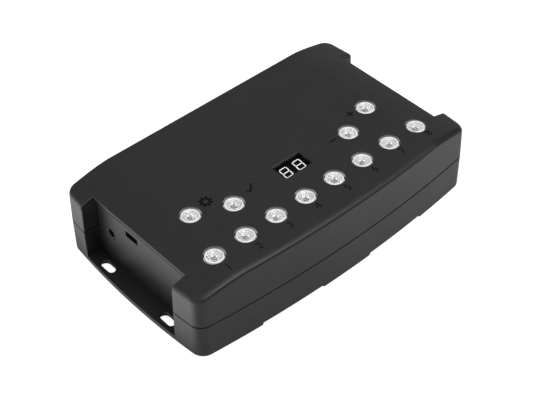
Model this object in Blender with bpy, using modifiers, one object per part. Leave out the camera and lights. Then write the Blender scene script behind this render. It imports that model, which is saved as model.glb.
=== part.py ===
"""A standalone DMX player: a bowed two-piece case, twelve sprung keys, and the board with its sockets.

X runs along the case, Y from the bowed key side to the straight back, Z up from the base.
The origin is on the base, in the middle of the case's overall length and depth.
"""

import math

import bmesh
import bpy
from mathutils import Matrix, Vector

# Case, seen in plan
LENGTH = 0.1650
DEPTH = 0.0970
FRONT_BOW = 0.0054
END_BOW = 0.0030
FRONT_CORNER = 0.0065
BACK_CORNER = 0.0055

# Case, seen from the side
HEIGHT = 0.0384
SEAM_HEIGHT = 0.0181
CROWN_REACH = 0.0269
CROWN_DROP = 0.0054
CROWN_POWER = 1.5
CROWN_STATIONS = 7
DRAFT = math.radians(1.2)
RIM_WIDTH = 0.0028
RIM_DROP = 0.0015
BASE_ROUND = 0.0008
WALL = 0.0022
FLOOR = 0.0030
LIP_THICKNESS = 0.0008
LIP_HEIGHT = 0.0015

# Fits
GAP = 0.0003
OVERLAP = 0.0005
REACH = 0.0050

# Connector recess in each end, with its mounting slots in the floor
RECESS_DEPTH = 0.0095
RECESS_WIDTH = 0.0624
RECESS_CENTRE = 0.0028
RECESS_LINTEL = 0.0114
RECESS_ROUND = 0.0005
SLOT_WIDTH = 0.0036
SLOT_LENGTH = 0.0084
SLOT_SPACING = 0.0421
SLOT_INSET = 0.0048

# Shallow notches under the long sides
NOTCH_INNER = 0.0140
NOTCH_OUTER = 0.0485
NOTCH_HEIGHT = 0.0018
NOTCH_DEPTH = 0.0042

# Keys
KEY_RADIUS = 0.0043
KEY_GAP = 0.0004
KEY_RISE = 0.0011
KEY_TRAVEL = 0.00035
KEY_RIM = 0.0005
KEY_COLLAR = 0.0009
KEY_COLLAR_HEIGHT = 0.0012
KEY_STEM_RADIUS = 0.0017
KEY_SINK = 0.0007
KEY_COUNT = 8
KEY_ROW_INSET = (0.01315, 0.0186)
OUTER_KEY_INSET = (0.0207, 0.0432)
INNER_KEY_INSET = (0.0388, 0.0360)

# Board and what stands on it
BOARD_SINK = 0.0129
BOARD_THICKNESS = 0.0016
BOARD_SIDE_INSET = 0.0036
BOARD_FRONT_INSET = 0.0080
BOARD_BACK_INSET = 0.0050
SWITCH_WIDTH = 0.0060
SWITCH_HEIGHT = 0.0035
SWITCH_BORE_DEPTH = 0.0013
WINDOW_SHIFT = 0.0011
WINDOW_INSET = 0.0374
WINDOW_SIZE = (0.0157, 0.0091)
WINDOW_CHAMFER = 0.0005
DISPLAY_SIZE = (0.0176, 0.0110, 0.0070)
DISPLAY_SOCKET_WIDTH = 0.0025

# Sockets
USB_Y = 0.0099
USB_SIZE = (0.0092, 0.0077, 0.0039)
USB_SKIN = 0.0004
USB_MOUTH = (0.0080, 0.0032)
USB_TONGUE = (0.0060, 0.0046, 0.0008)
USB_BLOCK = 0.0020
JACK_Y = 0.0254
JACK_SIZE = (0.0130, 0.0090, 0.0086)
JACK_BORE = 0.0032
JACK_BORE_DEPTH = 0.0100
JACK_PIN = 0.0010
DMX_Y = 0.0175
DMX_HEIGHT = 0.0165
DMX_BODY = (0.0180, 0.0250, 0.0250)
DMX_NOSE = 0.0117
DMX_BORE = 0.0096
DMX_BORE_DEPTH = 0.0150
DMX_INSERT = 0.0078
DMX_CONTACT = 0.0014
DMX_CONTACT_CIRCLE = 0.0041
DMX_CONTACT_DEPTH = 0.0100
DMX_CONTACTS = 3

# Fasteners
SCREW_SHANK = 0.00145
SCREW_HEAD = 0.0027
SCREW_HEAD_HEIGHT = 0.0020
SCREW_CROSS = (0.0030, 0.0007, 0.0010)
CASE_POST = 0.0034
CASE_FOOT = 0.0043
CASE_HEAD_SEAT = 0.0080
CASE_SCREW_BITE = 0.0090
CASE_SCREW_INSET = 0.0092
BOARD_POST = 0.0032
BOARD_SCREW_BITE = 0.0080
BOARD_SCREW_INSET = (0.0064, 0.0040)

HALF_LENGTH = LENGTH / 2
HALF_DEPTH = DEPTH / 2
RECESS_FACE = HALF_LENGTH - RECESS_DEPTH
RECESS_LOW = RECESS_CENTRE - RECESS_WIDTH / 2
RECESS_HIGH = RECESS_CENTRE + RECESS_WIDTH / 2
RECESS_SEAM = HEIGHT - RECESS_LINTEL
CROWN_FLAT = HALF_LENGTH - CROWN_REACH
WINDOW_CENTRE = (WINDOW_SHIFT, WINDOW_INSET - HALF_DEPTH)
BOARD_TOP = HEIGHT - BOARD_SINK
BOARD_BOTTOM = BOARD_TOP - BOARD_THICKNESS
BOARD_SIDE = RECESS_FACE - BOARD_SIDE_INSET
BOARD_FRONT = BOARD_FRONT_INSET - HALF_DEPTH
BOARD_BACK = HALF_DEPTH - BOARD_BACK_INSET
SOCKET_FACE = RECESS_FACE - WALL - GAP
SCREW_CLEAR = SCREW_SHANK + GAP
SIDES = (-1, 1)
ARC_STEPS = 5
RIM_STEPS = 4
ROUND_STEPS = 24
SMALL_STEPS = 16

# Places on the board are along X from its middle, and inward from its back edge.
CHIPS = {
    "processor_chip": ((-0.0060, 0.0205), (0.0100, 0.0100, 0.0014)),
    "memory_chip": ((-0.0270, 0.0315), (0.0052, 0.0053, 0.0017)),
    "line_driver_chip": ((0.0380, 0.0255), (0.0039, 0.0050, 0.0015)),
    "isolator_chip": ((0.0290, 0.0155), (0.0075, 0.0102, 0.0023)),
    "crystal": ((-0.0220, 0.0175), (0.0110, 0.0046, 0.0035)),
    "voltage_regulator": ((-0.0480, 0.0105), (0.0066, 0.0061, 0.0023)),
}
CAPACITOR_RADIUS = 0.0031
CAPACITOR_HEIGHT = 0.0056
CAPACITOR_SPOTS = ((-0.0370, 0.0095), (-0.0290, 0.0075), (0.0170, 0.0085))

FINISHES = {
    "case_plastic": ((0.030, 0.030, 0.032), 0.55, 0.0),
    "clear_plastic": ((0.86, 0.88, 0.90), 0.12, 0.0),
    "board_green": ((0.020, 0.110, 0.045), 0.45, 0.0),
    "black_resin": ((0.020, 0.020, 0.022), 0.50, 0.0),
    "grey_resin": ((0.30, 0.31, 0.32), 0.45, 0.0),
    "plated_steel": ((0.62, 0.63, 0.65), 0.30, 1.0),
    "screw_steel": ((0.10, 0.10, 0.11), 0.40, 1.0),
}


def clear_scene():
    """Empty the file and return the collections for the parts and for the cutters."""
    for item in list(bpy.data.objects):
        bpy.data.objects.remove(item, do_unlink=True)
    for old in list(bpy.data.collections):
        bpy.data.collections.remove(old)
    folders = []
    for name in ("dmx_player", "cutters"):
        folder = bpy.data.collections.new(name)
        bpy.context.scene.collection.children.link(folder)
        folders.append(folder)
    return folders


def make_finish(name):
    """One Principled material from the table of finishes."""
    colour, roughness, metallic = FINISHES[name]
    finish = bpy.data.materials.new(name)
    finish.use_nodes = True
    shader = finish.node_tree.nodes["Principled BSDF"]
    shader.inputs["Base Color"].default_value = (*colour, 1.0)
    shader.inputs["Roughness"].default_value = roughness
    shader.inputs["Metallic"].default_value = metallic
    return finish


def place(name, mesh, finish=None):
    """Link a mesh as a named part, or as a hidden cutter where it has no finish."""
    item = bpy.data.objects.new(name, mesh)
    if finish is None:
        CUTTERS.objects.link(item)
        item.hide_render = True
        item.display_type = "WIRE"
        return item
    PARTS.objects.link(item)
    mesh.materials.clear()
    mesh.materials.append(MATERIALS[finish])
    mesh.shade_smooth()
    mesh.set_sharp_from_angle(angle=math.radians(30))
    return item


def mesh_from(name, model):
    """Turn a bmesh into a mesh with its faces pointing out."""
    bmesh.ops.recalc_face_normals(model, faces=model.faces)
    mesh = bpy.data.meshes.new(name)
    model.to_mesh(mesh)
    model.free()
    return mesh


def box(name, low, high):
    """A box between two corners."""
    model = bmesh.new()
    size = Vector(high) - Vector(low)
    middle = (Vector(high) + Vector(low)) / 2
    shape = Matrix.Translation(middle) @ Matrix.Diagonal((*size, 1.0))
    bmesh.ops.create_cube(model, size=1.0, matrix=shape)
    return mesh_from(name, model)


def rod(name, radius, low, high, axis="Z", steps=SMALL_STEPS):
    """A cylinder from the point low to the same place at high along an axis."""
    model = bmesh.new()
    index = "XYZ".index(axis)
    length = high - low[index]
    middle = Vector(low)
    middle[index] += length / 2
    turn = {
        "X": Matrix.Rotation(math.pi / 2, 4, "Y"),
        "Y": Matrix.Rotation(math.pi / 2, 4, "X"),
        "Z": Matrix.Identity(4),
    }[axis]
    bmesh.ops.create_cone(
        model, cap_ends=True, segments=steps, radius1=radius, radius2=radius,
        depth=abs(length), matrix=Matrix.Translation(middle) @ turn,
    )
    return mesh_from(name, model)


def plate(name, points, low, high):
    """A flat outline, filled and extruded from one height to another."""
    outline_curve = bpy.data.curves.new(name, "CURVE")
    outline_curve.dimensions = "2D"
    outline_curve.fill_mode = "BOTH"
    outline_curve.extrude = (high - low) / 2
    spline = outline_curve.splines.new("POLY")
    spline.points.add(len(points) - 1)
    for point, (x, y) in zip(spline.points, points):
        point.co = (x, y, 0.0, 1.0)
    spline.use_cyclic_u = True
    guide = bpy.data.objects.new(name, outline_curve)
    guide.location.z = (high + low) / 2
    CUTTERS.objects.link(guide)
    bpy.context.view_layer.update()
    graph = bpy.context.evaluated_depsgraph_get()
    mesh = bpy.data.meshes.new_from_object(guide.evaluated_get(graph))
    mesh.transform(guide.matrix_world)
    bpy.data.objects.remove(guide)
    model = bmesh.new()
    model.from_mesh(mesh)
    bmesh.ops.remove_doubles(model, verts=model.verts, dist=1e-6)
    return mesh_from(name, model)


def turned(name, profile, finish, centre, steps):
    """A solid turned about the vertical axis through a centre, from its half profile."""
    mesh = bpy.data.meshes.new(name)
    points = [(radius, 0.0, height) for radius, height in profile]
    mesh.from_pydata(points, [(i, i + 1) for i in range(len(points) - 1)], [])
    item = place(name, mesh, finish)
    item.location = centre
    screw = item.modifiers.new("turn", "SCREW")
    screw.steps = steps
    screw.render_steps = steps
    screw.use_merge_vertices = True
    screw.merge_threshold = 1e-5
    screw.use_smooth_shade = True
    return item


def together(name, meshes):
    """Several meshes in one, each still a solid of its own."""
    model = bmesh.new()
    for mesh in meshes:
        model.from_mesh(mesh)
    return mesh_from(name, model)


def combined(name, base, *steps):
    """Apply Boolean steps, each an operation and a mesh, to a base mesh."""
    item = place(name, base)
    tools = []
    for operation, mesh in steps:
        tool = place(name + "_tool", mesh)
        change = item.modifiers.new(operation, "BOOLEAN")
        change.operation = operation
        change.solver = "EXACT"
        change.object = tool
        tools.append(tool)
    bpy.context.view_layer.update()
    graph = bpy.context.evaluated_depsgraph_get()
    result = bpy.data.meshes.new_from_object(item.evaluated_get(graph))
    for used in [item, *tools]:
        bpy.data.objects.remove(used)
    return result


def rounded(mesh, chosen, radius, steps):
    """Bevel the edges for which the test chosen is true."""
    model = bmesh.new()
    model.from_mesh(mesh)
    model.normal_update()
    edges = [edge for edge in model.edges if chosen(edge)]
    bmesh.ops.bevel(
        model, geom=edges, offset=radius, offset_type="OFFSET", affect="EDGES",
        segments=steps, profile=0.5, clamp_overlap=False,
    )
    wide = [face for face in model.faces if len(face.verts) > 4]
    bmesh.ops.triangulate(model, faces=wide, ngon_method="BEAUTY")
    return mesh_from(mesh.name, model)


def arc(centre, radius, start, stop, steps):
    """Points on an arc, both ends included."""
    angles = [start + (stop - start) * i / steps for i in range(steps + 1)]
    return [(centre[0] + radius * math.cos(a), centre[1] + radius * math.sin(a)) for a in angles]


def sagitta_radius(half_chord, bow):
    """Radius of the arc that bows out by bow over a half chord."""
    return (half_chord ** 2 + bow ** 2) / (2 * bow)


def case_outline(inset):
    """The plan of the case, offset inward: bowed front, two bowed ends and a straight back."""
    front_radius = sagitta_radius(HALF_LENGTH, FRONT_BOW)
    end_radius = sagitta_radius(HALF_DEPTH, END_BOW)
    front_centre = Vector((0.0, front_radius - HALF_DEPTH))
    end_centre = Vector((HALF_LENGTH - end_radius, 0.0))
    apart = (end_centre - front_centre).length
    to_front = front_radius - FRONT_CORNER
    to_end = end_radius - FRONT_CORNER
    along = (to_front ** 2 - to_end ** 2 + apart ** 2) / (2 * apart)
    aside = math.sqrt(to_front ** 2 - along ** 2)
    direction = (end_centre - front_centre).normalized()
    front_corner = front_centre + direction * along + Vector((-direction.y, direction.x)) * aside
    back_y = HALF_DEPTH - BACK_CORNER
    back_x = end_centre.x + math.sqrt((end_radius - BACK_CORNER) ** 2 - back_y ** 2)
    back_corner = Vector((back_x, back_y))
    front_turn = math.atan2(*(front_corner - front_centre).yx)
    low_turn = math.atan2(*(front_corner - end_centre).yx)
    high_turn = math.atan2(*(back_corner - end_centre).yx)
    half = arc(front_centre, front_radius - inset, -math.pi / 2, front_turn, ARC_STEPS + 2)
    half += arc(front_corner, FRONT_CORNER - inset, front_turn, low_turn, ARC_STEPS)[1:]
    half += arc(end_centre, end_radius - inset, low_turn, high_turn, ARC_STEPS + 1)[1:]
    half += arc(back_corner, BACK_CORNER - inset, high_turn, math.pi / 2, ARC_STEPS)[1:]
    return half + [(-x, y) for x, y in reversed(half[1:])]


def loft(name, outlines):
    """A solid through level outlines with the same number of points, each given as (points, height)."""
    model = bmesh.new()
    rings = [[model.verts.new((x, y, height)) for x, y in points] for points, height in outlines]
    for lower, upper in zip(rings, rings[1:]):
        for i, vertex in enumerate(lower):
            model.faces.new((lower[i - 1], vertex, upper[i], upper[i - 1]))
    model.faces.new(rings[0])
    model.faces.new(rings[-1])
    return mesh_from(name, model)


def case_block(name, *levels):
    """A block on the plan of the case, lofted through levels, each an inset and a height."""
    return loft(name, [(case_outline(inset), height) for inset, height in levels])


def window_outline(margin):
    """The corners of the display window, moved outward by a margin."""
    x, y = WINDOW_CENTRE
    width, depth = (size / 2 + margin for size in WINDOW_SIZE)
    return [(x - width, y - depth), (x + width, y - depth), (x + width, y + depth), (x - width, y + depth)]


def recess_boxes(name, margin, low, high):
    """The two connector recesses as boxes, grown by a margin."""
    boxes = []
    for side in SIDES:
        near = side * (RECESS_FACE - margin)
        far = side * (HALF_LENGTH + REACH)
        boxes.append(box(
            name,
            (min(near, far), RECESS_LOW - margin, low),
            (max(near, far), RECESS_HIGH + margin, high),
        ))
    return together(name, boxes)


def inner_block(name, low_inset, high_inset, low, high, margin=WALL):
    """A block inside the case walls, which stops short of the connector recesses by a margin."""
    core = case_block(name, (low_inset, low), (high_inset, high))
    return combined(name, core, ("DIFFERENCE", recess_boxes(name, margin, low - REACH, high + REACH)))


def crown_drop(x):
    """How far the top lies below its flat middle, in straight steps between stations."""
    reach = HALF_LENGTH - CROWN_FLAT
    run = max(0.0, abs(x) - CROWN_FLAT) / reach * CROWN_STATIONS
    step = int(run)
    part = run - step
    low, high = (CROWN_DROP * ((step + k) / CROWN_STATIONS) ** CROWN_POWER for k in (0, 1))
    return low + (high - low) * part


def crowned(mesh, threshold):
    """Bend everything above a threshold down towards both ends, following the crown."""
    model = bmesh.new()
    model.from_mesh(mesh)
    reach = HALF_LENGTH - CROWN_FLAT
    for side in SIDES:
        for step in range(CROWN_STATIONS):
            station = side * (CROWN_FLAT + reach * step / CROWN_STATIONS)
            faces = [f for f in model.faces if min(v.co.z for v in f.verts) > threshold]
            edges = {e for f in faces for e in f.edges}
            verts = {v for f in faces for v in f.verts}
            bmesh.ops.bisect_plane(
                model, geom=[*verts, *edges, *faces], dist=1e-6,
                plane_co=(station, 0, 0), plane_no=(1, 0, 0),
            )
    for vertex in model.verts:
        if vertex.co.z > threshold:
            vertex.co.z -= crown_drop(vertex.co.x)
    return mesh_from(mesh.name, model)


def key_spots():
    """Name and place of each key: the row of eight, then the four above it."""
    end, row_y = (RECESS_FACE - KEY_ROW_INSET[0], KEY_ROW_INSET[1] - HALF_DEPTH)
    outer, outer_y = (RECESS_FACE - OUTER_KEY_INSET[0], OUTER_KEY_INSET[1] - HALF_DEPTH)
    inner, inner_y = (RECESS_FACE - INNER_KEY_INSET[0], INNER_KEY_INSET[1] - HALF_DEPTH)
    pitch = 2 * end / (KEY_COUNT - 1)
    spots = [(f"key_{index + 1}", index * pitch - end, row_y) for index in range(KEY_COUNT)]
    spots.append(("key_settings", -outer, outer_y))
    spots.append(("key_confirm", -inner, inner_y))
    spots.append(("key_minus", inner, inner_y))
    spots.append(("key_plus", outer, outer_y))
    return spots


def case_screw_spots():
    """Places of the four case screws, each in the middle of its ear."""
    x = HALF_LENGTH - CASE_SCREW_INSET
    bowed_front = FRONT_BOW * (x / HALF_LENGTH) ** 2 - HALF_DEPTH
    middles = ((bowed_front + RECESS_LOW) / 2, (HALF_DEPTH + RECESS_HIGH) / 2)
    return [(side * x, y) for side in SIDES for y in middles]


def board_screw_spots():
    """Places of the four board screws, one in each corner of the board."""
    x = BOARD_SIDE - BOARD_SCREW_INSET[0]
    rows = (BOARD_FRONT + BOARD_SCREW_INSET[1], BOARD_BACK - BOARD_SCREW_INSET[1])
    return [(side * x, y) for side in SIDES for y in rows]


def posts(name, spots, radius, low, high, steps=SMALL_STEPS):
    """Round posts or holes at several places."""
    return together(name, [rod(name, radius, (x, y, low), high, "Z", steps) for x, y in spots])


def sinks(name, spots, radius, low, high, steps):
    """Countersinks at 45 degrees at several places, from their smaller end at low up to high."""
    cones = []
    for x, y in spots:
        model = bmesh.new()
        bmesh.ops.create_cone(
            model, cap_ends=True, segments=steps, radius1=radius, radius2=radius + high - low,
            depth=high - low, matrix=Matrix.Translation((x, y, (low + high) / 2)),
        )
        cones.append(mesh_from(name, model))
    return together(name, cones)


def usb_height():
    """Height of the middle of the USB socket, which stands on the board."""
    return BOARD_TOP + GAP + USB_SIZE[2] / 2


def jack_height():
    """Height of the middle of the power jack, which hangs under the board."""
    return BOARD_BOTTOM - GAP - JACK_SIZE[2] / 2


def wall_openings():
    """Cutters for the socket openings in the recess walls of both shells."""
    inner = RECESS_FACE - WALL - OVERLAP
    outer = RECESS_FACE + OVERLAP
    middle = usb_height()
    mouth = box(
        "usb_mouth",
        (-outer, USB_Y - USB_MOUTH[0] / 2, middle - USB_MOUTH[1] / 2),
        (-inner, USB_Y + USB_MOUTH[0] / 2, middle + USB_MOUTH[1] / 2),
    )
    power = rod("power_hole", JACK_BORE, (-outer, JACK_Y, jack_height()), -inner, "X")
    dmx = rod("dmx_hole", DMX_NOSE + GAP, (inner, DMX_Y, DMX_HEIGHT), outer, "X", ROUND_STEPS)
    return together("wall_openings", [mouth, power, dmx])


def lies_on(value, target):
    """True where a coordinate lies on a plane of the design."""
    return abs(value - target) < OVERLAP / 10


def lines_recess(face):
    """True for a face that lies on one of the upright planes of a connector recess."""
    points = [vertex.co for vertex in face.verts]
    if all(lies_on(abs(point.x), RECESS_FACE) for point in points):
        return True
    return any(all(lies_on(point.y, plane) for point in points) for plane in (RECESS_LOW, RECESS_HIGH))


def recess_edges(*levels):
    """A test for the outer edges of the recesses, except those that lie flat at the given levels."""
    def chosen(edge):
        flat = any(all(lies_on(vertex.co.z, level) for vertex in edge.verts) for level in levels)
        return not flat and sum(lines_recess(face) for face in edge.link_faces) == 1
    return chosen


def make_top_shell():
    """The upper shell: crowned deck, soft rim, ears and key holes."""
    low = SEAM_HEIGHT + GAP / 2
    edge = HEIGHT - RIM_DROP
    lean = (edge - low) * math.tan(DRAFT)
    above = HEIGHT + REACH
    levels = [(0.0, low)]
    for step in range(RIM_STEPS + 1):
        angle = math.pi / 2 * step / RIM_STEPS
        levels.append((lean + RIM_WIDTH * (1 - math.cos(angle)), edge + RIM_DROP * math.sin(angle)))
    shell = case_block("top_shell", *levels)
    shell = combined("top_shell", shell, ("DIFFERENCE", recess_boxes("recess", 0.0, -REACH, above)))
    shell = rounded(shell, recess_edges(low), RECESS_ROUND, 2)
    room = WALL - LIP_THICKNESS - GAP
    start = low - OVERLAP
    inner_wall = []
    for side in SIDES:
        near = side * (RECESS_FACE - WALL - OVERLAP)
        far = side * (RECESS_FACE + OVERLAP)
        inner_wall.append(box(
            "inner_wall",
            (min(near, far), RECESS_LOW, 0.0),
            (max(near, far), RECESS_HIGH, RECESS_SEAM + GAP / 2),
        ))
    spots = [(x, y) for _, x, y in key_spots()]
    hole = KEY_RADIUS + KEY_GAP
    under = HEIGHT - 2 * WALL
    over = HEIGHT + OVERLAP
    window = window_outline(0.0)
    flare = window_outline(WINDOW_CHAMFER + OVERLAP)
    deck_cuts = (
        posts("key_holes", spots, hole, under, above, ROUND_STEPS),
        sinks("key_sinks", spots, hole, HEIGHT - KEY_SINK, over, ROUND_STEPS),
        loft("window", [(window, under), (window, above)]),
        loft("window_sink", [(window, HEIGHT - WINDOW_CHAMFER), (flare, over)]),
    )
    shell = combined(
        "top_shell", shell,
        ("DIFFERENCE", inner_block("cavity", WALL, WALL + lean, start, HEIGHT - WALL)),
        ("DIFFERENCE", inner_block("lip_room", room, room, start, SEAM_HEIGHT + LIP_HEIGHT + GAP)),
        ("DIFFERENCE", together("inner_wall", inner_wall)),
        ("UNION", posts("posts", case_screw_spots(), CASE_POST, low, HEIGHT - WALL / 2)),
        ("DIFFERENCE", posts("bites", case_screw_spots(), SCREW_CLEAR, 0.0, low + CASE_SCREW_BITE)),
        ("DIFFERENCE", wall_openings()),
        *[("DIFFERENCE", cut) for cut in deck_cuts],
    )
    place("top_shell", crowned(shell, under), "case_plastic")


def slot_outline(x, y):
    """Outline of one mounting slot, with round ends, running along Y."""
    radius = SLOT_WIDTH / 2
    straight = SLOT_LENGTH / 2 - radius
    ends = arc((x, y + straight), radius, 0.0, math.pi, ARC_STEPS)
    return ends + arc((x, y - straight), radius, math.pi, 2 * math.pi, ARC_STEPS)


def make_bottom_shell():
    """The lower shell: floor that runs on as a flange in each recess, with slots, posts and notches."""
    high = SEAM_HEIGHT - GAP / 2

    def is_base_edge(edge):
        level = all(vertex.co.z < OVERLAP for vertex in edge.verts)
        return level and any(abs(face.normal.z) < 0.5 for face in edge.link_faces)

    shell = plate("bottom_shell", case_outline(0.0), 0.0, high)
    shell = rounded(shell, is_base_edge, BASE_ROUND, 2)
    inset = WALL - LIP_THICKNESS
    lip = inner_block("lip", inset, inset, high - OVERLAP, SEAM_HEIGHT + LIP_HEIGHT, WALL + OVERLAP)
    walls = []
    for side in SIDES:
        near = side * (RECESS_FACE - WALL - OVERLAP)
        far = side * (RECESS_FACE + OVERLAP)
        walls.append(box(
            "connector_wall",
            (min(near, far), RECESS_LOW + GAP, high - OVERLAP),
            (max(near, far), RECESS_HIGH - GAP, RECESS_SEAM - GAP / 2),
        ))
    slots = []
    for side in SIDES:
        for end in SIDES:
            spot = (side * (HALF_LENGTH - SLOT_INSET), RECESS_CENTRE + end * SLOT_SPACING / 2)
            slots.append(plate("slot", slot_outline(*spot), -REACH, FLOOR + REACH))
    notches = []
    for side in SIDES:
        for end in SIDES:
            x = sorted((side * NOTCH_INNER, side * NOTCH_OUTER))
            y = sorted((end * (HALF_DEPTH - NOTCH_DEPTH), end * (HALF_DEPTH + REACH)))
            notches.append(box("notch", (x[0], y[0], -REACH), (x[1], y[1], NOTCH_HEIGHT)))
    seat = CASE_HEAD_SEAT
    board_posts = posts("board_posts", board_screw_spots(), BOARD_POST, FLOOR / 2, BOARD_BOTTOM - GAP)
    bites = posts(
        "bites", board_screw_spots(), SCREW_CLEAR, BOARD_BOTTOM - GAP - BOARD_SCREW_BITE, BOARD_TOP
    )
    shell = combined(
        "bottom_shell", shell,
        ("UNION", lip),
        ("UNION", together("connector_walls", walls)),
        ("DIFFERENCE", recess_boxes("recess", 0.0, FLOOR, HEIGHT)),
        ("DIFFERENCE", inner_block("cavity", WALL, WALL, FLOOR, HEIGHT)),
        ("UNION", posts("feet", case_screw_spots(), CASE_FOOT, FLOOR / 2, high)),
        ("UNION", board_posts),
        ("DIFFERENCE", posts("clearance", case_screw_spots(), SCREW_CLEAR, seat - OVERLAP, HEIGHT)),
        ("DIFFERENCE", posts("head_wells", case_screw_spots(), SCREW_HEAD + GAP, -REACH, seat)),
        ("DIFFERENCE", bites),
        ("DIFFERENCE", wall_openings()),
        ("DIFFERENCE", together("slots", slots)),
        ("DIFFERENCE", together("notches", notches)),
    )
    shell = rounded(shell, recess_edges(FLOOR, high, RECESS_SEAM - GAP / 2), RECESS_ROUND, 2)
    place("bottom_shell", shell, "case_plastic")


def make_keys():
    """Twelve clear keys, each a cap with a collar under the deck and a stem into its switch."""
    for name, x, y in key_spots():
        collar = KEY_RADIUS + KEY_COLLAR
        top = HEIGHT - crown_drop(x) + KEY_RISE
        collar_top = HEIGHT - crown_drop(abs(x) + collar) - WALL - GAP
        collar_bottom = collar_top - KEY_COLLAR_HEIGHT
        stem = BOARD_TOP + GAP + SWITCH_HEIGHT - SWITCH_BORE_DEPTH + KEY_TRAVEL + GAP / 2
        profile = (
            (0.0, top),
            (KEY_RADIUS - KEY_RIM, top),
            (KEY_RADIUS - KEY_RIM * 0.3, top - KEY_RIM * 0.3),
            (KEY_RADIUS, top - KEY_RIM),
            (KEY_RADIUS, collar_top),
            (collar, collar_top),
            (collar, collar_bottom),
            (KEY_STEM_RADIUS, collar_bottom),
            (KEY_STEM_RADIUS, stem),
            (0.0, stem),
        )
        turned(name, [(r, z - stem) for r, z in profile], "clear_plastic", (x, y, stem), ROUND_STEPS)


def make_switches():
    """A lit switch on the board under each key, with a bore for the key's stem."""
    base = BOARD_TOP + GAP
    half = SWITCH_WIDTH / 2
    for key, x, y in key_spots():
        name = key.replace("key", "switch")
        body = box(name, (x - half, y - half, base), (x + half, y + half, base + SWITCH_HEIGHT))
        bore = rod(
            "bore", KEY_STEM_RADIUS + GAP,
            (x, y, base + SWITCH_HEIGHT - SWITCH_BORE_DEPTH), base + 2 * SWITCH_HEIGHT,
        )
        place(name, combined(name, body, ("DIFFERENCE", bore)), "black_resin")


def make_board():
    """The circuit board, notched round the DMX socket and drilled for its screws."""
    board = box(
        "circuit_board",
        (-BOARD_SIDE, BOARD_FRONT, BOARD_BOTTOM),
        (BOARD_SIDE, BOARD_BACK, BOARD_TOP),
    )
    side = DMX_BODY[1] / 2 + GAP
    notch = box(
        "dmx_notch",
        (SOCKET_FACE - DMX_BODY[0] - GAP, DMX_Y - side, 0.0),
        (HALF_LENGTH, DMX_Y + side, HEIGHT),
    )
    holes = posts("board_holes", board_screw_spots(), SCREW_CLEAR, 0.0, HEIGHT)
    board = combined("circuit_board", board, ("DIFFERENCE", notch), ("DIFFERENCE", holes))
    place("circuit_board", board, "board_green")


def make_components():
    """Chips, crystal, regulator and capacitors, all standing on the board."""
    base = BOARD_TOP + GAP
    for name, ((x, inward), (width, depth, height)) in CHIPS.items():
        y = BOARD_BACK - inward
        finish = "plated_steel" if name == "crystal" else "black_resin"
        low = (x - width / 2, y - depth / 2, base)
        high = (x + width / 2, y + depth / 2, base + height)
        place(name, box(name, low, high), finish)
    for index, (x, inward) in enumerate(CAPACITOR_SPOTS):
        name = f"capacitor_{index + 1}"
        can = rod(name, CAPACITOR_RADIUS, (x, BOARD_BACK - inward, base), base + CAPACITOR_HEIGHT)
        place(name, can, "plated_steel")


def make_display():
    """The two-digit display under its window, raised on two socket strips."""
    x, y = WINDOW_CENTRE
    width, depth, height = DISPLAY_SIZE
    face = HEIGHT - WALL - GAP
    body = box(
        "display_body",
        (x - width / 2, y - depth / 2, face - height),
        (x + width / 2, y + depth / 2, face),
    )
    place("display_body", body, "grey_resin")
    for name, end in (("display_socket_front", -1), ("display_socket_back", 1)):
        edge = sorted((y + end * depth / 2, y + end * (depth / 2 - DISPLAY_SOCKET_WIDTH)))
        low = (x - width / 2, edge[0], BOARD_TOP + GAP)
        high = (x + width / 2, edge[1], face - height - GAP)
        place(name, box(name, low, high), "black_resin")


def make_usb_socket():
    """The mini USB socket: a folded steel shell and the contact block inside it."""
    length, width, height = USB_SIZE
    front = -SOCKET_FACE
    middle = usb_height()
    outer = box(
        "usb_socket_shell",
        (front, USB_Y - width / 2, middle - height / 2),
        (front + length, USB_Y + width / 2, middle + height / 2),
    )
    inner = box(
        "usb_room",
        (front - REACH, USB_Y - width / 2 + USB_SKIN, middle - height / 2 + USB_SKIN),
        (front + length - USB_SKIN, USB_Y + width / 2 - USB_SKIN, middle + height / 2 - USB_SKIN),
    )
    place("usb_socket_shell", combined("usb_socket_shell", outer, ("DIFFERENCE", inner)), "plated_steel")
    back = front + length - USB_SKIN - GAP
    clear = USB_SKIN + GAP
    block = box(
        "usb_contact_block",
        (back - USB_BLOCK, USB_Y - width / 2 + clear, middle - height / 2 + clear),
        (back, USB_Y + width / 2 - clear, middle + height / 2 - clear),
    )
    tongue = box(
        "tongue",
        (back - USB_BLOCK - USB_TONGUE[0], USB_Y - USB_TONGUE[1] / 2, middle - USB_TONGUE[2] / 2),
        (back - USB_BLOCK / 2, USB_Y + USB_TONGUE[1] / 2, middle + USB_TONGUE[2] / 2),
    )
    place("usb_contact_block", combined("usb_contact_block", block, ("UNION", tongue)), "black_resin")


def make_power_jack():
    """The power jack under the board: a block with a round bore and a centre pin."""
    length, width, height = JACK_SIZE
    front = -SOCKET_FACE
    middle = jack_height()
    block = box(
        "power_jack_body",
        (front, JACK_Y - width / 2, middle - height / 2),
        (front + length, JACK_Y + width / 2, middle + height / 2),
    )
    bore = rod("jack_bore", JACK_BORE, (front - REACH, JACK_Y, middle), front + JACK_BORE_DEPTH, "X")
    place("power_jack_body", combined("power_jack_body", block, ("DIFFERENCE", bore)), "black_resin")
    pin = rod(
        "power_jack_pin", JACK_PIN,
        (front + JACK_PIN, JACK_Y, middle), front + JACK_BORE_DEPTH - GAP, "X",
    )
    place("power_jack_pin", pin, "plated_steel")


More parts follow.
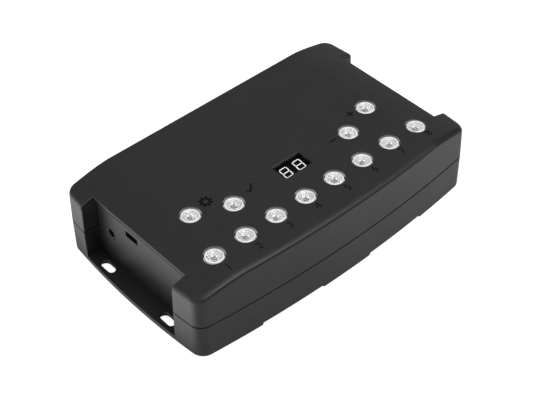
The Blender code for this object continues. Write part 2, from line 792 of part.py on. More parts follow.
def make_dmx_socket():
    """The three-pin DMX socket: a housing with a round bore and the insert that stands in it."""
    length, width, height = DMX_BODY
    front = SOCKET_FACE
    nose_end = RECESS_FACE
    block = box(
        "dmx_socket_body",
        (front - length, DMX_Y - width / 2, DMX_HEIGHT - height / 2),
        (front, DMX_Y + width / 2, DMX_HEIGHT + height / 2),
    )
    centre = (front - OVERLAP, DMX_Y, DMX_HEIGHT)
    nose = rod("dmx_nose", DMX_NOSE, centre, nose_end, "X", ROUND_STEPS)
    floor = nose_end - DMX_BORE_DEPTH
    bore = rod("dmx_bore", DMX_BORE, (floor, DMX_Y, DMX_HEIGHT), nose_end + REACH, "X", ROUND_STEPS)
    body = combined("dmx_socket_body", block, ("UNION", nose), ("DIFFERENCE", bore))
    place("dmx_socket_body", body, "black_resin")
    insert_end = nose_end - GAP
    insert = rod(
        "dmx_socket_insert", DMX_INSERT, (floor + GAP, DMX_Y, DMX_HEIGHT), insert_end, "X", ROUND_STEPS
    )
    holes = []
    for index in range(DMX_CONTACTS):
        angle = math.radians(90 + 360 / DMX_CONTACTS * index)
        y = DMX_Y + DMX_CONTACT_CIRCLE * math.cos(angle)
        z = DMX_HEIGHT - DMX_CONTACT_CIRCLE * math.sin(angle)
        start = (insert_end - DMX_CONTACT_DEPTH, y, z)
        holes.append(rod("contact_hole", DMX_CONTACT, start, nose_end + REACH, "X", SMALL_STEPS // 2))
    insert = combined("dmx_socket_insert", insert, ("DIFFERENCE", together("contact_holes", holes)))
    place("dmx_socket_insert", insert, "black_resin")


def screw_mesh(name, x, y, seat, tip):
    """A pan head screw from its seat to its tip, with a cross recess in the head."""
    outward = math.copysign(1.0, seat - tip)
    crown = seat + outward * SCREW_HEAD_HEIGHT
    head = rod(name, SCREW_HEAD, (x, y, min(seat, crown)), max(seat, crown), "Z", SMALL_STEPS)
    root = seat + outward * SCREW_HEAD_HEIGHT / 2
    shank = rod(name, SCREW_SHANK, (x, y, min(root, tip)), max(root, tip), "Z", SMALL_STEPS // 2)
    length, width, depth = SCREW_CROSS
    bars = []
    for along, across in ((length, width), (width, length)):
        reach = sorted((crown - outward * depth, crown + outward * depth))
        bars.append(("DIFFERENCE", box(
            name,
            (x - along / 2, y - across / 2, reach[0]),
            (x + along / 2, y + across / 2, reach[1]),
        )))
    return combined(name, head, ("UNION", shank), *bars)


def make_screws():
    """Four case screws from below and four board screws from above."""
    tip = SEAM_HEIGHT + CASE_SCREW_BITE - 2 * GAP
    for index, (x, y) in enumerate(case_screw_spots()):
        name = f"case_screw_{index + 1}"
        place(name, screw_mesh(name, x, y, CASE_HEAD_SEAT - GAP, tip), "screw_steel")
    tip = BOARD_BOTTOM - BOARD_SCREW_BITE + GAP
    for index, (x, y) in enumerate(board_screw_spots()):
        name = f"board_screw_{index + 1}"
        place(name, screw_mesh(name, x, y, BOARD_TOP + GAP, tip), "screw_steel")


PARTS, CUTTERS = clear_scene()
MATERIALS = {name: make_finish(name) for name in FINISHES}
make_top_shell()
make_bottom_shell()
make_keys()
make_switches()
make_board()
make_components()
make_display()
make_usb_socket()
make_power_jack()
make_dmx_socket()
make_screws()
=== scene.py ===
"""Finished look of a standalone DMX player: the bowed black case, its lit keys, the display and the sockets.

Sizes are in metres. X runs along the case, Y from the key side to the back, Z up from the base.
"""

import math

import bmesh
import bpy
from bpy.props import FloatProperty, FloatVectorProperty, PointerProperty, StringProperty
from mathutils import Matrix, Vector


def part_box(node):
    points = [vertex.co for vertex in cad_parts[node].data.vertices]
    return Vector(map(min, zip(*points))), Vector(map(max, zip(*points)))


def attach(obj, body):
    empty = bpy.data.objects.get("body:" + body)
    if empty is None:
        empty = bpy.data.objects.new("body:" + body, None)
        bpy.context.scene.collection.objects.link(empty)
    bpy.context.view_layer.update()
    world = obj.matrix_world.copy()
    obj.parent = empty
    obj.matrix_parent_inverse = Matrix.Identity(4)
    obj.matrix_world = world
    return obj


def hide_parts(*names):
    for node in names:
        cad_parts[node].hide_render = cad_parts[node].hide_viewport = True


bl_info = {
    "name": "DMX player",
    "version": (1, 0, 0),
    "blender": (4, 5, 0),
    "location": "3D View > Sidebar > DMX player",
    "description": "Builds the case, keys, display and sockets of a standalone DMX player",
    "category": "Object",
}

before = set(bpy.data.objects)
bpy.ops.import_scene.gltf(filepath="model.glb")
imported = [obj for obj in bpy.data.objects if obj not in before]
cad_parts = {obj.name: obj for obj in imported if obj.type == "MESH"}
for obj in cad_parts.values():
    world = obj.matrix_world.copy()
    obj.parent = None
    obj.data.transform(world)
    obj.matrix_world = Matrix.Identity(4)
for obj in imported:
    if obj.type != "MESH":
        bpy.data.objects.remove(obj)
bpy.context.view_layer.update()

SIDES = (-1, 1)
CUT = "DIFFERENCE"
JOIN = "UNION"

# Case, seen in plan
LENGTH = 0.1650
DEPTH = 0.0970
FRONT_BOW = 0.0054
END_BOW = 0.0030
FRONT_CORNER = 0.0065
BACK_CORNER = 0.0055
HALF_LENGTH = LENGTH / 2
HALF_DEPTH = DEPTH / 2

# Case, seen from the side
SEAM_HEIGHT = 0.0181
CROWN_FLAT = HALF_LENGTH - 0.0269
CROWN_DROP = 0.0054
CROWN_POWER = 1.5
CROWN_STATIONS = 21
DRAFT = math.radians(1.2)
LEAN_AT_CREASE = 0.99
RIM_DROP = 0.0015
RIM_END = 0.0014
FACET_RISE = 0.0009
FACET_SLOPE = math.radians(54)
WALL = 0.0022
FLOOR = 0.0030
LIP_THICKNESS = 0.0008
LIP_HEIGHT = 0.0015
GAP = 0.0003
SEAM_GAP = 0.0005
OVERLAP = 0.0005
REACH = 0.0050
INK = 0.00004
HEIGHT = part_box("top_shell")[1].z - INK

# Connector recesses, slots and notches
RECESS_FACE = HALF_LENGTH - 0.0095
RECESS_SPANS = {-1: (0.0035 - 0.0312, 0.0035 + 0.0312), 1: (0.0020 - 0.0304, 0.0020 + 0.0304)}
RECESS_BROW = 0.0010
RECESS_SEAM = HEIGHT - 0.0052
GROOVE_DROP = 0.0012
GROOVE_WIDTH = 0.0005
SLOT_WIDTH = 0.0036
SLOT_LENGTH = 0.0084
SLOT_SPOTS = [(side * (HALF_LENGTH - 0.0048), 0.0028 + end * 0.02105) for side in SIDES for end in SIDES]
SLOT_CHAMFER = 0.0004
SLOT_RELIEF = 0.0010
SLOT_SKIN = 0.0009
NOTCH_X = (0.0140, 0.0485)
NOTCH_HEIGHT = 0.0018
NOTCH_DEPTH = 0.0042

# Keys, display and window
KEY_RADIUS = 0.0042
KEY_SHIFT = 0.0005
KEY_HOLE = 0.0049
KEY_HOLE_CHAMFER = 0.0002
KEY_COLLAR_HEIGHT = 0.0012
KEY_STEM = 0.0017
CUP_DEPTH = 0.0011
LAMP_HEIGHT = 0.0003
LAMP_SHIFT = 0.0003
BEAD_RADIUS = 0.00045
BEAD_SPREAD = 0.0006
DISPLAY_FACE = 0.0003
DIGIT_SHIFT = 0.0002
WINDOW_SIZE = (0.0157, 0.0091)
WINDOW_CHAMFER = 0.0005

# Sockets: half sizes of the USB mouth, and radii
USB_MOUTH = (0.0040, 0.0016)
USB_SHEET = 0.0003
JACK_HOLE = 0.0032
JACK_NOSE = 0.0031
JACK_BORE = 0.0021
JACK_PIN = 0.0010
DMX_HOLE = 0.0120
DMX_NOSE = 0.0117
DMX_BORE = 0.0096
DMX_CORE = 0.0078
DMX_PIN_CIRCLE = 0.0041

# Screws and their posts
SCREW_SHANK = 0.00145
SCREW_HEAD = 0.0027
SCREW_HEAD_HEIGHT = 0.0020
CASE_HEAD_SEAT = 0.0080
POST_RADIUS = 0.0034
FOOT_RADIUS = 0.0040
BOARD_POST_RADIUS = 0.0032
CASE_BITE = 0.0090
BOARD_BITE = 0.0080

# Where the painted glow of a cap and the glow of the table fade
RIM_FADE = 0.0001
SIDE_FADE = (-0.00055, -0.00040)
BACK_FADE = (0.0030, 0.0048)
LEFT_FADE = (-0.105, -0.078)
LEFT_REACH = (-0.048, -0.034)
RIGHT_FADE = (-0.02, 0.10)
NEAR_FADE = (-0.080, -0.050)
FAR_FADE = (-0.14, -0.10)

ARC_STEPS = 12
RIM_STEPS = 9
ROUND_STEPS = 64
KEYS = [f"key_{index}" for index in range(1, 9)] + ["key_settings", "key_confirm", "key_minus", "key_plus"]


# Shaders

def new_group(name, inputs, outputs):
    """An empty shader node group with named sockets, each an input (name, default) or an output name."""
    tree = bpy.data.node_groups.new(name, "ShaderNodeTree")
    for label, default in inputs:
        socket = tree.interface.new_socket(label, in_out="INPUT", socket_type="NodeSocketFloat")
        socket.default_value = default
    for label in outputs:
        tree.interface.new_socket(label, in_out="OUTPUT", socket_type="NodeSocketFloat")
    return tree, tree.nodes.new("NodeGroupInput"), tree.nodes.new("NodeGroupOutput")


def feed(node, **values):
    """Set or link the inputs of a node by name, or by number as in0 and so on."""
    for key, value in values.items():
        socket = node.inputs[int(key[2:])] if key.startswith("in") else node.inputs[key.replace("_", " ")]
        if isinstance(value, bpy.types.NodeSocket):
            node.id_data.links.new(value, socket)
        else:
            socket.default_value = value


def add_node(tree, kind, settings=(), **values):
    """Add a node, set its own settings and feed its inputs."""
    made = tree.nodes.new("ShaderNode" + kind)
    for key, value in dict(settings).items():
        setattr(made, key, value)
    feed(made, **values)
    return made


def maths(tree, operation, first, second=0.0):
    """The result of a Math node."""
    return add_node(tree, "Math", {"operation": operation}, in0=first, in1=second).outputs[0]


def spread(tree, value, low, high, out_low=0.0, out_high=1.0):
    """Map a value from one range to another, held at the ends."""
    return add_node(
        tree, "MapRange", From_Min=low, From_Max=high, To_Min=out_low, To_Max=out_high, Value=value,
    ).outputs["Result"]


def make_grain_group():
    """Fine moulded texture: a height for the bump and a slow tone over the surface."""
    tree, given, out = new_group(
        "Moulded grain", (("Scale", 3000.0), ("Unevenness", 60.0)), ("Height", "Tone"),
    )
    place = add_node(tree, "TexCoord").outputs["Object"]
    fine = add_node(tree, "TexNoise", Vector=place, Scale=given.outputs["Scale"], Detail=3.0, Roughness=0.6)
    cells = add_node(tree, "TexVoronoi", Vector=place, Scale=given.outputs["Scale"])
    slow = add_node(tree, "TexNoise", Vector=place, Scale=given.outputs["Unevenness"], Detail=4.0)
    height = maths(tree, "ADD", fine.outputs[0], maths(tree, "MULTIPLY", cells.outputs[0], 0.5))
    feed(out, Height=height, Tone=spread(tree, slow.outputs[0], 0.3, 0.7))


def make_handling_group():
    """Faint smudges and settled dust from handling."""
    tree, given, out = new_group("Handling", (("Scale", 40.0), ("Specks", 1500.0)), ("Smudge", "Dust"))
    place = add_node(tree, "TexCoord").outputs["Object"]
    smudge = add_node(
        tree, "TexNoise", Vector=place, Scale=given.outputs["Scale"], Detail=5.0, Roughness=0.7, Distortion=1.5,
    )
    specks = add_node(tree, "TexNoise", Vector=place, Scale=given.outputs["Specks"], Detail=2.0)
    worn = spread(tree, smudge.outputs[0], 0.45, 0.75)
    feed(out, Smudge=worn, Dust=spread(tree, specks.outputs[0], 0.66, 0.78))


def place_group(tree, name, **values):
    """Place a node group in a material with its own values."""
    made = tree.nodes.new("ShaderNodeGroup")
    made.node_tree = bpy.data.node_groups[name]
    feed(made, **values)
    return made


def mixed(tree, factor, first, second):
    """Two colours mixed by a factor."""
    mix = add_node(tree, "Mix", {"data_type": "RGBA"}, in0=factor, in6=(*first, 1.0), in7=(*second, 1.0))
    return mix.outputs[2]


def shade(colour, share):
    """A colour made darker or lighter."""
    return tuple(part * share for part in colour)


def new_material(name):
    """Make a material, and give its node tree and its Principled shader."""
    material = bpy.data.materials.new(name)
    material.use_nodes = True
    return material.node_tree, material.node_tree.nodes["Principled BSDF"]


def textured(name, colour, alternate, roughness, grain, **options):
    """A Principled material whose colour and roughness wander and whose surface has a moulded grain."""
    tree, shader = new_material(name)
    scale, depth, wander = grain
    moulded = place_group(tree, "Moulded grain", Scale=scale)
    handled = place_group(tree, "Handling")
    tone = mixed(tree, moulded.outputs["Tone"], colour, alternate)
    smudged = spread(tree, handled.outputs["Smudge"], 0.0, 1.0, roughness, roughness * (1 - wander))
    dusted = maths(tree, "ADD", smudged, maths(tree, "MULTIPLY", handled.outputs["Dust"], wander))
    bump = add_node(tree, "Bump", Strength=depth, Distance=0.00005, Height=moulded.outputs["Height"])
    feed(shader, Base_Color=tone, Roughness=dusted, Normal=bump.outputs["Normal"], **options)
    return tree, shader


def make_board_material():
    """Green solder mask over copper tracks, with the grain of the laminate."""
    mask = (0.010, 0.075, 0.028)
    tree, shader = textured("board mask", mask, (0.014, 0.095, 0.036), 0.32, (900.0, 0.15, 0.2), Coat_Weight=0.4)
    place = add_node(tree, "TexCoord").outputs["Object"]
    tracks = add_node(
        tree, "TexBrick", {"offset": 0.35}, Vector=place, Scale=110.0, Mortar_Size=0.05, Color1=(0, 0, 0, 1),
        Color2=(0, 0, 0, 1), Mortar=(1, 1, 1, 1),
    )
    feed(shader, Base_Color=mixed(tree, tracks.outputs["Color"], mask, (0.030, 0.150, 0.050)))


def make_metal(name, colour, roughness, direction):
    """Plated or blackened metal with fine drawn lines along one direction."""
    tree, shader = new_material(name)
    place = add_node(tree, "TexCoord").outputs["Object"]
    stretched = add_node(tree, "Mapping", Vector=place, Scale=direction)
    lines = add_node(tree, "TexNoise", Vector=stretched.outputs[0], Scale=2500.0, Detail=3.0)
    handled = place_group(tree, "Handling", Scale=90.0)
    tint = mixed(tree, handled.outputs["Smudge"], colour, shade(colour, 0.82))
    drawn = spread(tree, lines.outputs[0], 0.3, 0.7, roughness * 0.75, roughness * 1.3)
    bump = add_node(tree, "Bump", Strength=0.12, Distance=0.00003, Height=lines.outputs[0])
    feed(shader, Base_Color=tint, Roughness=drawn, Normal=bump.outputs["Normal"], Metallic=1.0)


def paint_cap_glow(tree, shader, keys):
    """Let a little light out of a cap's rim, and more out of the back of its side, towards the hole's wall."""
    place = add_node(tree, "TexCoord").outputs["Object"]
    apart = add_node(tree, "SeparateXYZ", Vector=place).outputs
    flat = add_node(tree, "CombineXYZ", X=apart["X"], Y=apart["Y"]).outputs[0]
    radius = add_node(tree, "VectorMath", {"operation": "LENGTH"}, in0=flat).outputs["Value"]
    ring = KEY_RADIUS - keys.rim_width
    rim = spread(tree, radius, ring - RIM_FADE, ring)
    side = spread(tree, apart["Z"], *SIDE_FADE, 1.0, 0.0)
    behind = spread(tree, maths(tree, "ADD", apart["X"], apart["Y"]), *BACK_FADE)
    level = maths(tree, "ADD", maths(tree, "MULTIPLY", side, behind), keys.painted_rim_share)
    # painted light: the cap glows most at the back of its side and least on its rim
    glow = maths(tree, "MULTIPLY", rim, level)
    white = mixed(tree, glow, (0.0, 0.0, 0.0), (1.0, 1.0, 1.0))
    feed(shader, Emission_Color=white, Emission_Strength=keys.painted_side_glow)


def make_materials():
    """Make every finish of the player."""
    case = bpy.context.scene.dmx_case
    keys = bpy.context.scene.dmx_keys
    display = bpy.context.scene.dmx_display
    make_grain_group()
    make_handling_group()
    black, milky, lit = tuple(case.colour), tuple(keys.colour), tuple(display.colour)
    grain = (case.grain_scale, case.grain_depth, 0.14)
    looks = {
        "case plastic": (black, shade(black, 1.25), case.roughness, grain, {"Specular_IOR_Level": case.gloss}),
        "legend ink": (
            (0.002, 0.002, 0.002), (0.003, 0.003, 0.003), 0.6, (4000.0, 0.1, 0.1), {"Specular_IOR_Level": 0.12},
        ),
        "milky plastic": (
            milky, shade(milky, 0.93), 0.22, (2500.0, 0.05, 0.3), {"Coat_Weight": 0.5, "Coat_Roughness": 0.06},
        ),
        "clear plastic": (
            (0.93, 0.94, 0.95), (0.97, 0.97, 0.98), 0.07, (1800.0, 0.04, 0.4),
            {"Transmission_Weight": 1.0, "IOR": 1.49},
        ),
        "lamp chip": ((0.28, 0.28, 0.28), (0.34, 0.34, 0.33), 0.35, (2500.0, 0.1, 0.2), {"Coat_Weight": 0.3}),
        # the beads glow as painted highlights seen through the lens
        "lamp bead": (
            (0.90, 0.90, 0.88), (0.86, 0.86, 0.85), 0.2, (2500.0, 0.05, 0.3), {"Emission_Strength": 0.35},
        ),
        "display body": ((0.28, 0.29, 0.30), (0.33, 0.33, 0.34), 0.45, (2200.0, 0.25, 0.2), {}),
        "display face": (
            (0.002, 0.002, 0.003), (0.003, 0.003, 0.004), 0.25, (2600.0, 0.1, 0.3), {"Specular_IOR_Level": 0.08},
        ),
        # painted light: the segments glow to stay bright in the shade of the deep window
        "display segment": (lit, shade(lit, 0.97), 0.4, (2600.0, 0.05, 0.2), {"Emission_Strength": display.glow}),
        "black resin": ((0.012, 0.012, 0.013), (0.020, 0.020, 0.021), 0.5, (2400.0, 0.3, 0.25), {}),
        "switch resin": ((0.016, 0.016, 0.017), (0.024, 0.024, 0.025), 0.42, (2000.0, 0.25, 0.25), {}),
    }
    made = {name: textured(name, *look, **options) for name, (*look, options) in looks.items()}
    make_board_material()
    make_metal("plated steel", (0.70, 0.71, 0.72), 0.24, (1.0, 12.0, 12.0))
    make_metal("can aluminium", (0.78, 0.79, 0.80), 0.3, (10.0, 10.0, 1.0))
    make_metal("black screw steel", (0.09, 0.09, 0.10), 0.38, (1.0, 1.0, 8.0))
    make_metal("gold contact", (0.83, 0.60, 0.26), 0.2, (1.0, 8.0, 8.0))
    # painted glow on the key caps, which brightens the far wall of each hole
    paint_cap_glow(*made["milky plastic"], keys)
    for name in ("display segment", "lamp bead"):
        feed(made[name][1], Emission_Color=(*lit, 1.0))


def finish(name):
    """A material by name, all of them made the first time one is asked for."""
    if name not in bpy.data.materials:
        make_materials()
    return bpy.data.materials[name]


# Mesh tools

def mesh_from(name, model):
    """Turn a bmesh into a mesh with its faces pointing out."""
    bmesh.ops.recalc_face_normals(model, faces=model.faces)
    mesh = bpy.data.meshes.new(name)
    model.to_mesh(mesh)
    model.free()
    return mesh


def opened(mesh):
    """A bmesh copy of a mesh."""
    model = bmesh.new()
    model.from_mesh(mesh)
    return model


def moved(mesh, shift):
    """The same mesh, moved."""
    mesh.transform(Matrix.Translation(shift))
    return mesh


def add_object(name, data, place=(0.0, 0.0, 0.0)):
    """Add an object to the scene."""
    item = bpy.data.objects.new(name, data)
    item.location = place
    bpy.context.scene.collection.objects.link(item)
    return item


def evaluated(item):
    """The mesh of an object with its modifiers or its letters worked out."""
    bpy.context.view_layer.update()
    graph = bpy.context.evaluated_depsgraph_get()
    return bpy.data.meshes.new_from_object(item.evaluated_get(graph))


def box(name, low, high):
    """A box between two corners."""
    model = bmesh.new()
    size = Vector(high) - Vector(low)
    middle = (Vector(high) + Vector(low)) / 2
    bmesh.ops.create_cube(model, size=1.0, matrix=Matrix.Translation(middle) @ Matrix.Diagonal((*size, 1.0)))
    return mesh_from(name, model)


def rod(name, radius, low, high, axis="Z", steps=ROUND_STEPS):
    """A cylinder from the point low to the same place at high along an axis."""
    model = bmesh.new()
    index = "XYZ".index(axis)
    length = high - low[index]
    middle = Vector(low)
    middle[index] += length / 2
    turn = {
        "X": Matrix.Rotation(math.pi / 2, 4, "Y"),
        "Y": Matrix.Rotation(math.pi / 2, 4, "X"),
        "Z": Matrix.Identity(4),
    }[axis]
    bmesh.ops.create_cone(
        model, cap_ends=True, segments=steps, radius1=radius, radius2=radius,
        depth=abs(length), matrix=Matrix.Translation(middle) @ turn,
    )
    return mesh_from(name, model)


def together(name, meshes):
    """Several meshes in one, each still a solid of its own."""
    model = bmesh.new()
    for mesh in meshes:
        model.from_mesh(mesh)
    return mesh_from(name, model)


def combined(name, base, *steps):
    """Apply Boolean steps, each an operation and a mesh, to a base mesh."""
    item = add_object(name, base)
    tools = []
    for operation, mesh in steps:
        tools.append(add_object(name + "_tool", mesh))
        change = item.modifiers.new(operation, "BOOLEAN")
        change.operation = operation
        change.solver = "EXACT"
        change.object = tools[-1]
    result = evaluated(item)
    for used in [item, *tools]:
        bpy.data.objects.remove(used)
    return result


def rounded(mesh, chosen, radius, steps):
    """Bevel the edges for which the test chosen is true."""
    model = opened(mesh)
    model.normal_update()
    edges = [edge for edge in model.edges if chosen(edge)]
    bmesh.ops.bevel(
        model, geom=edges, offset=radius, offset_type="OFFSET", affect="EDGES",
        segments=steps, profile=0.5, clamp_overlap=False,
    )
    wide = [face for face in model.faces if len(face.verts) > 4]
    bmesh.ops.triangulate(model, faces=wide, ngon_method="BEAUTY")
    return mesh_from(mesh.name, model)


def is_corner(edge):
    """True for an edge between two faces that meet at more than 30 degrees."""
    return len(edge.link_faces) == 2 and edge.calc_face_angle() > math.radians(30)


def runs_along(edge):
    """True for an edge that runs along X."""
    return abs(edge.verts[0].co.x - edge.verts[1].co.x) > 0.001


def loft(name, outlines):
    """A solid through level outlines with the same number of points, each given as (points, height)."""
    model = bmesh.new()
    rings = [[model.verts.new((x, y, height)) for x, y in points] for points, height in outlines]
    for lower, upper in zip(rings, rings[1:]):
        for i, vertex in enumerate(lower):
            model.faces.new((lower[i - 1], vertex, upper[i], upper[i - 1]))
    model.faces.new(rings[0])
    model.faces.new(rings[-1])
    return mesh_from(name, model)


def turned(name, profile, axis="Z", steps=ROUND_STEPS):
    """A solid turned about an axis through the origin, from its half profile of (radius, distance along)."""
    model = bmesh.new()
    rings = []
    for radius, along in profile:
        if radius == 0.0:
            rings.append([model.verts.new((0.0, 0.0, along))])
            continue
        angles = [2 * math.pi * i / steps for i in range(steps)]
        rings.append([model.verts.new((radius * math.cos(a), radius * math.sin(a), along)) for a in angles])
    for lower, upper in zip(rings, rings[1:]):
        for i in range(steps):
            corners = [lower[i - 1 if len(lower) > 1 else 0], lower[i if len(lower) > 1 else 0]]
            corners += [upper[i if len(upper) > 1 else 0], upper[i - 1 if len(upper) > 1 else 0]]
            model.faces.new(list(dict.fromkeys(corners)))
    if axis == "X":
        bmesh.ops.rotate(model, verts=model.verts, matrix=Matrix.Rotation(math.pi / 2, 3, "Y"))
    return mesh_from(name, model)


def piece(name, mesh, material, body="case", nodes=(), centre=(0.0, 0.0, 0.0)):
    """Place a mesh as a shaded piece that rides on a body and stands for the named nodes."""
    item = add_object(name, mesh, centre)
    mesh.materials.clear()
    mesh.materials.append(finish(material))
    mesh.shade_smooth()
    mesh.set_sharp_from_angle(angle=math.radians(32))
    normals = item.modifiers.new("normals", "WEIGHTED_NORMAL")
    normals.keep_sharp = True
    bpy.context.view_layer.update()
    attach(item, body)
    if nodes:
        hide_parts(*nodes)
    return item


# Case geometry

def arc(centre, radius, start, stop, steps):
    """Points on an arc, both ends included."""
    angles = [start + (stop - start) * i / steps for i in range(steps + 1)]
    return [(centre[0] + radius * math.cos(a), centre[1] + radius * math.sin(a)) for a in angles]


def sagitta_radius(half_chord, bow):
    """Radius of the arc that bows out by bow over a half chord."""
    return (half_chord ** 2 + bow ** 2) / (2 * bow)


def case_outline(inset, brow=0.0):
    """The plan of the case, offset inward, with the front set back further by the brow."""
    front_radius = sagitta_radius(HALF_LENGTH, FRONT_BOW)
    end_radius = sagitta_radius(HALF_DEPTH, END_BOW)
    front_centre = Vector((0.0, front_radius - HALF_DEPTH))
    end_centre = Vector((HALF_LENGTH - end_radius, 0.0))
    apart = (end_centre - front_centre).length
    to_front = front_radius - brow - FRONT_CORNER
    to_end = end_radius - FRONT_CORNER
    along = (to_front ** 2 - to_end ** 2 + apart ** 2) / (2 * apart)
    aside = math.sqrt(to_front ** 2 - along ** 2)
    direction = (end_centre - front_centre).normalized()
    front_corner = front_centre + direction * along + Vector((-direction.y, direction.x)) * aside
    back_y = HALF_DEPTH - BACK_CORNER
    back_x = end_centre.x + math.sqrt((end_radius - BACK_CORNER) ** 2 - back_y ** 2)
    back_corner = Vector((back_x, back_y))
    front_turn = math.atan2(*(front_corner - front_centre).yx)
    low_turn = math.atan2(*(front_corner - end_centre).yx)
    high_turn = math.atan2(*(back_corner - end_centre).yx)
    half = arc(front_centre, front_radius - brow - inset, -math.pi / 2, front_turn, 2 * ARC_STEPS)
    half += arc(front_corner, FRONT_CORNER - inset, front_turn, low_turn, ARC_STEPS)[1:]
    half += arc(end_centre, end_radius - inset, low_turn, high_turn, ARC_STEPS)[1:]
    half += arc(back_corner, BACK_CORNER - inset, high_turn, math.pi / 2, ARC_STEPS)[1:]
    return half + [(-x, y) for x, y in reversed(half[1:])]


def case_block(name, *levels):
    """A block on the plan of the case, lofted through levels, each an inset, a height and maybe a brow."""
    return loft(name, [(case_outline(inset, *brow), height) for inset, height, *brow in levels])


def end_boxes(name, near, far, margin, low, high):
    """A box in each recess, from near to far along the case and grown across it by a margin."""
    boxes = []
    for side, (front, back) in RECESS_SPANS.items():
        x = sorted((side * near, side * far))
        boxes.append(box(name, (x[0], front - margin, low), (x[1], back + margin, high)))
    return together(name, boxes)


def recess_boxes(name, margin, low, high):
    """The two connector recesses as boxes, grown by a margin."""
    return end_boxes(name, RECESS_FACE - margin, HALF_LENGTH + REACH, margin, low, high)


def inner_block(name, low_inset, high_inset, low, high, margin=WALL):
    """A block inside the case walls, which stops short of the connector recesses by a margin."""
    core = case_block(name, (low_inset, low), (high_inset, high))
    return combined(name, core, (CUT, recess_boxes(name, margin, low - REACH, high + REACH)))


def crown_drop(x):
    """How far the top lies below its flat middle."""
    run = max(0.0, abs(x) - CROWN_FLAT) / (HALF_LENGTH - CROWN_FLAT)
    return CROWN_DROP * run ** CROWN_POWER


def crowned(mesh, threshold):
    """Bend everything above a threshold down towards both ends, following the crown."""
    model = opened(mesh)
    reach = HALF_LENGTH - CROWN_FLAT
    for side in SIDES:
        for step in range(CROWN_STATIONS):
            station = side * (CROWN_FLAT + reach * step / CROWN_STATIONS)
            faces = [f for f in model.faces if min(v.co.z for v in f.verts) > threshold]
            edges = dict.fromkeys(e for f in faces for e in f.edges)
            verts = dict.fromkeys(v for f in faces for v in f.verts)
            bmesh.ops.bisect_plane(
                model, geom=[*verts, *edges, *faces], dist=1e-6,
                plane_co=(station, 0, 0), plane_no=(1, 0, 0),
            )
    for vertex in model.verts:
        if vertex.co.z > threshold:
            vertex.co.z -= crown_drop(vertex.co.x)
    return mesh_from(mesh.name, model)


def lies_on(value, target):
    """True where a coordinate lies on a plane of the design."""
    return abs(value - target) < OVERLAP / 10


def lines_recess(face, wall):
    """True for a face on the end wall of a recess, which stands at wall, or on a side of a recess."""
    points = [vertex.co for vertex in face.verts]
    if all(lies_on(abs(point.x), wall) for point in points):
        return True
    planes = [plane for span in RECESS_SPANS.values() for plane in span]
    return any(all(lies_on(point.y, plane) for point in points) for plane in planes)


def recess_edges(wall, *levels):
    """A test for the outer edges of the recesses, except those that lie flat at the given levels."""
    def chosen(edge):
        flat = any(all(lies_on(vertex.co.z, level) for vertex in edge.verts) for level in levels)
        return not flat and sum(lines_recess(face, wall) for face in edge.link_faces) == 1
    return chosen


def screw_spots(prefix):
    """Centres of the four screws whose node names start with a prefix."""
    spots = []
    for index in range(1, 5):
        low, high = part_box(f"{prefix}_{index}")
        spots.append(((low.x + high.x) / 2, (low.y + high.y) / 2))
    return spots


def posts(name, spots, radius, low, high, steps=32):
    """Round posts or holes at several places."""
    return together(name, [rod(name, radius, (x, y, low), high, "Z", steps) for x, y in spots])


def sinks(name, spots, radius, low, high):
    """Countersinks at 45 degrees at several places, from their smaller end at low up to high."""
    cones = []
    for x, y in spots:
        model = bmesh.new()
        bmesh.ops.create_cone(
            model, cap_ends=True, segments=ROUND_STEPS, radius1=radius, radius2=radius + high - low,
            depth=high - low, matrix=Matrix.Translation((x, y, (low + high) / 2)),
        )
        cones.append(mesh_from(name, model))
    return together(name, cones)


def key_spot(name):
    """Centre of a key, seen from above, with a small shift that makes up for its lower top."""
    low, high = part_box(name)
    return (low.x + high.x) / 2 + KEY_SHIFT, (low.y + high.y) / 2 + KEY_SHIFT


def window_outline(margin):
    """The corners of the display window, moved outward by a margin."""
    low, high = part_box("display_body")
    x, y = (low.x + high.x) / 2, (low.y + high.y) / 2
    width, depth = (size / 2 + margin for size in WINDOW_SIZE)
    return [(x - width, y - depth), (x + width, y - depth), (x + width, y + depth), (x - width, y + depth)]


def socket_middle(node):
    """Centre of a socket node in Y and Z."""
    low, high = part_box(node)
    return (low.y + high.y) / 2, (low.z + high.z) / 2


def wall_openings():
    """Cutters for the socket openings in the recess walls."""
    inner = RECESS_FACE - WALL - OVERLAP
    outer = RECESS_FACE + OVERLAP
    usb_y, usb_z = socket_middle("usb_socket_shell")
    jack_y, jack_z = socket_middle("power_jack_body")
    dmx_y, dmx_z = socket_middle("dmx_socket_body")
    wide, tall = USB_MOUTH
    mouth = box("usb_mouth", (-outer, usb_y - wide, usb_z - tall), (-inner, usb_y + wide, usb_z + tall))
    mouth = rounded(mouth, runs_along, 0.0001, 2)
    power = rod("power_hole", JACK_HOLE, (-outer, jack_y, jack_z), -inner, "X")
    dmx = rod("dmx_hole", DMX_HOLE, (inner, dmx_y, dmx_z), outer, "X")
    return together("wall_openings", [mouth, power, dmx])


def rim_levels(low, case):
    """Levels of the top shell: the seam chamfer, the leaning side, and a rim with a steep facet over the crease."""
    edge = HEIGHT - RIM_DROP
    lean = (edge - low) * math.tan(DRAFT)
    seam = case.seam_chamfer
    soft = case.crease_round
    facet = FACET_RISE / math.tan(FACET_SLOPE)
    width = case.brow_width - facet
    turned_by = 2 * math.atan((RIM_DROP - FACET_RISE) / width)
    radius = width / math.sin(turned_by)
    rim = [(soft, soft / math.tan(FACET_SLOPE))]
    for step in range(RIM_STEPS + 1):
        turn = turned_by * (1 - step / RIM_STEPS)
        rim.append((RIM_DROP - radius * (1 - math.cos(turn)), case.brow_width - radius * math.sin(turn)))
    levels = [(seam, low), (0.0, low + seam), (lean * LEAN_AT_CREASE, edge - soft)]
    for rise, set_back in rim:
        end_inset = RIM_END * (1 - math.cos(math.asin(min(1.0, rise / RIM_DROP))))
        levels.append((lean + end_inset, edge + rise, set_back - end_inset))
    return levels, lean


# Pieces

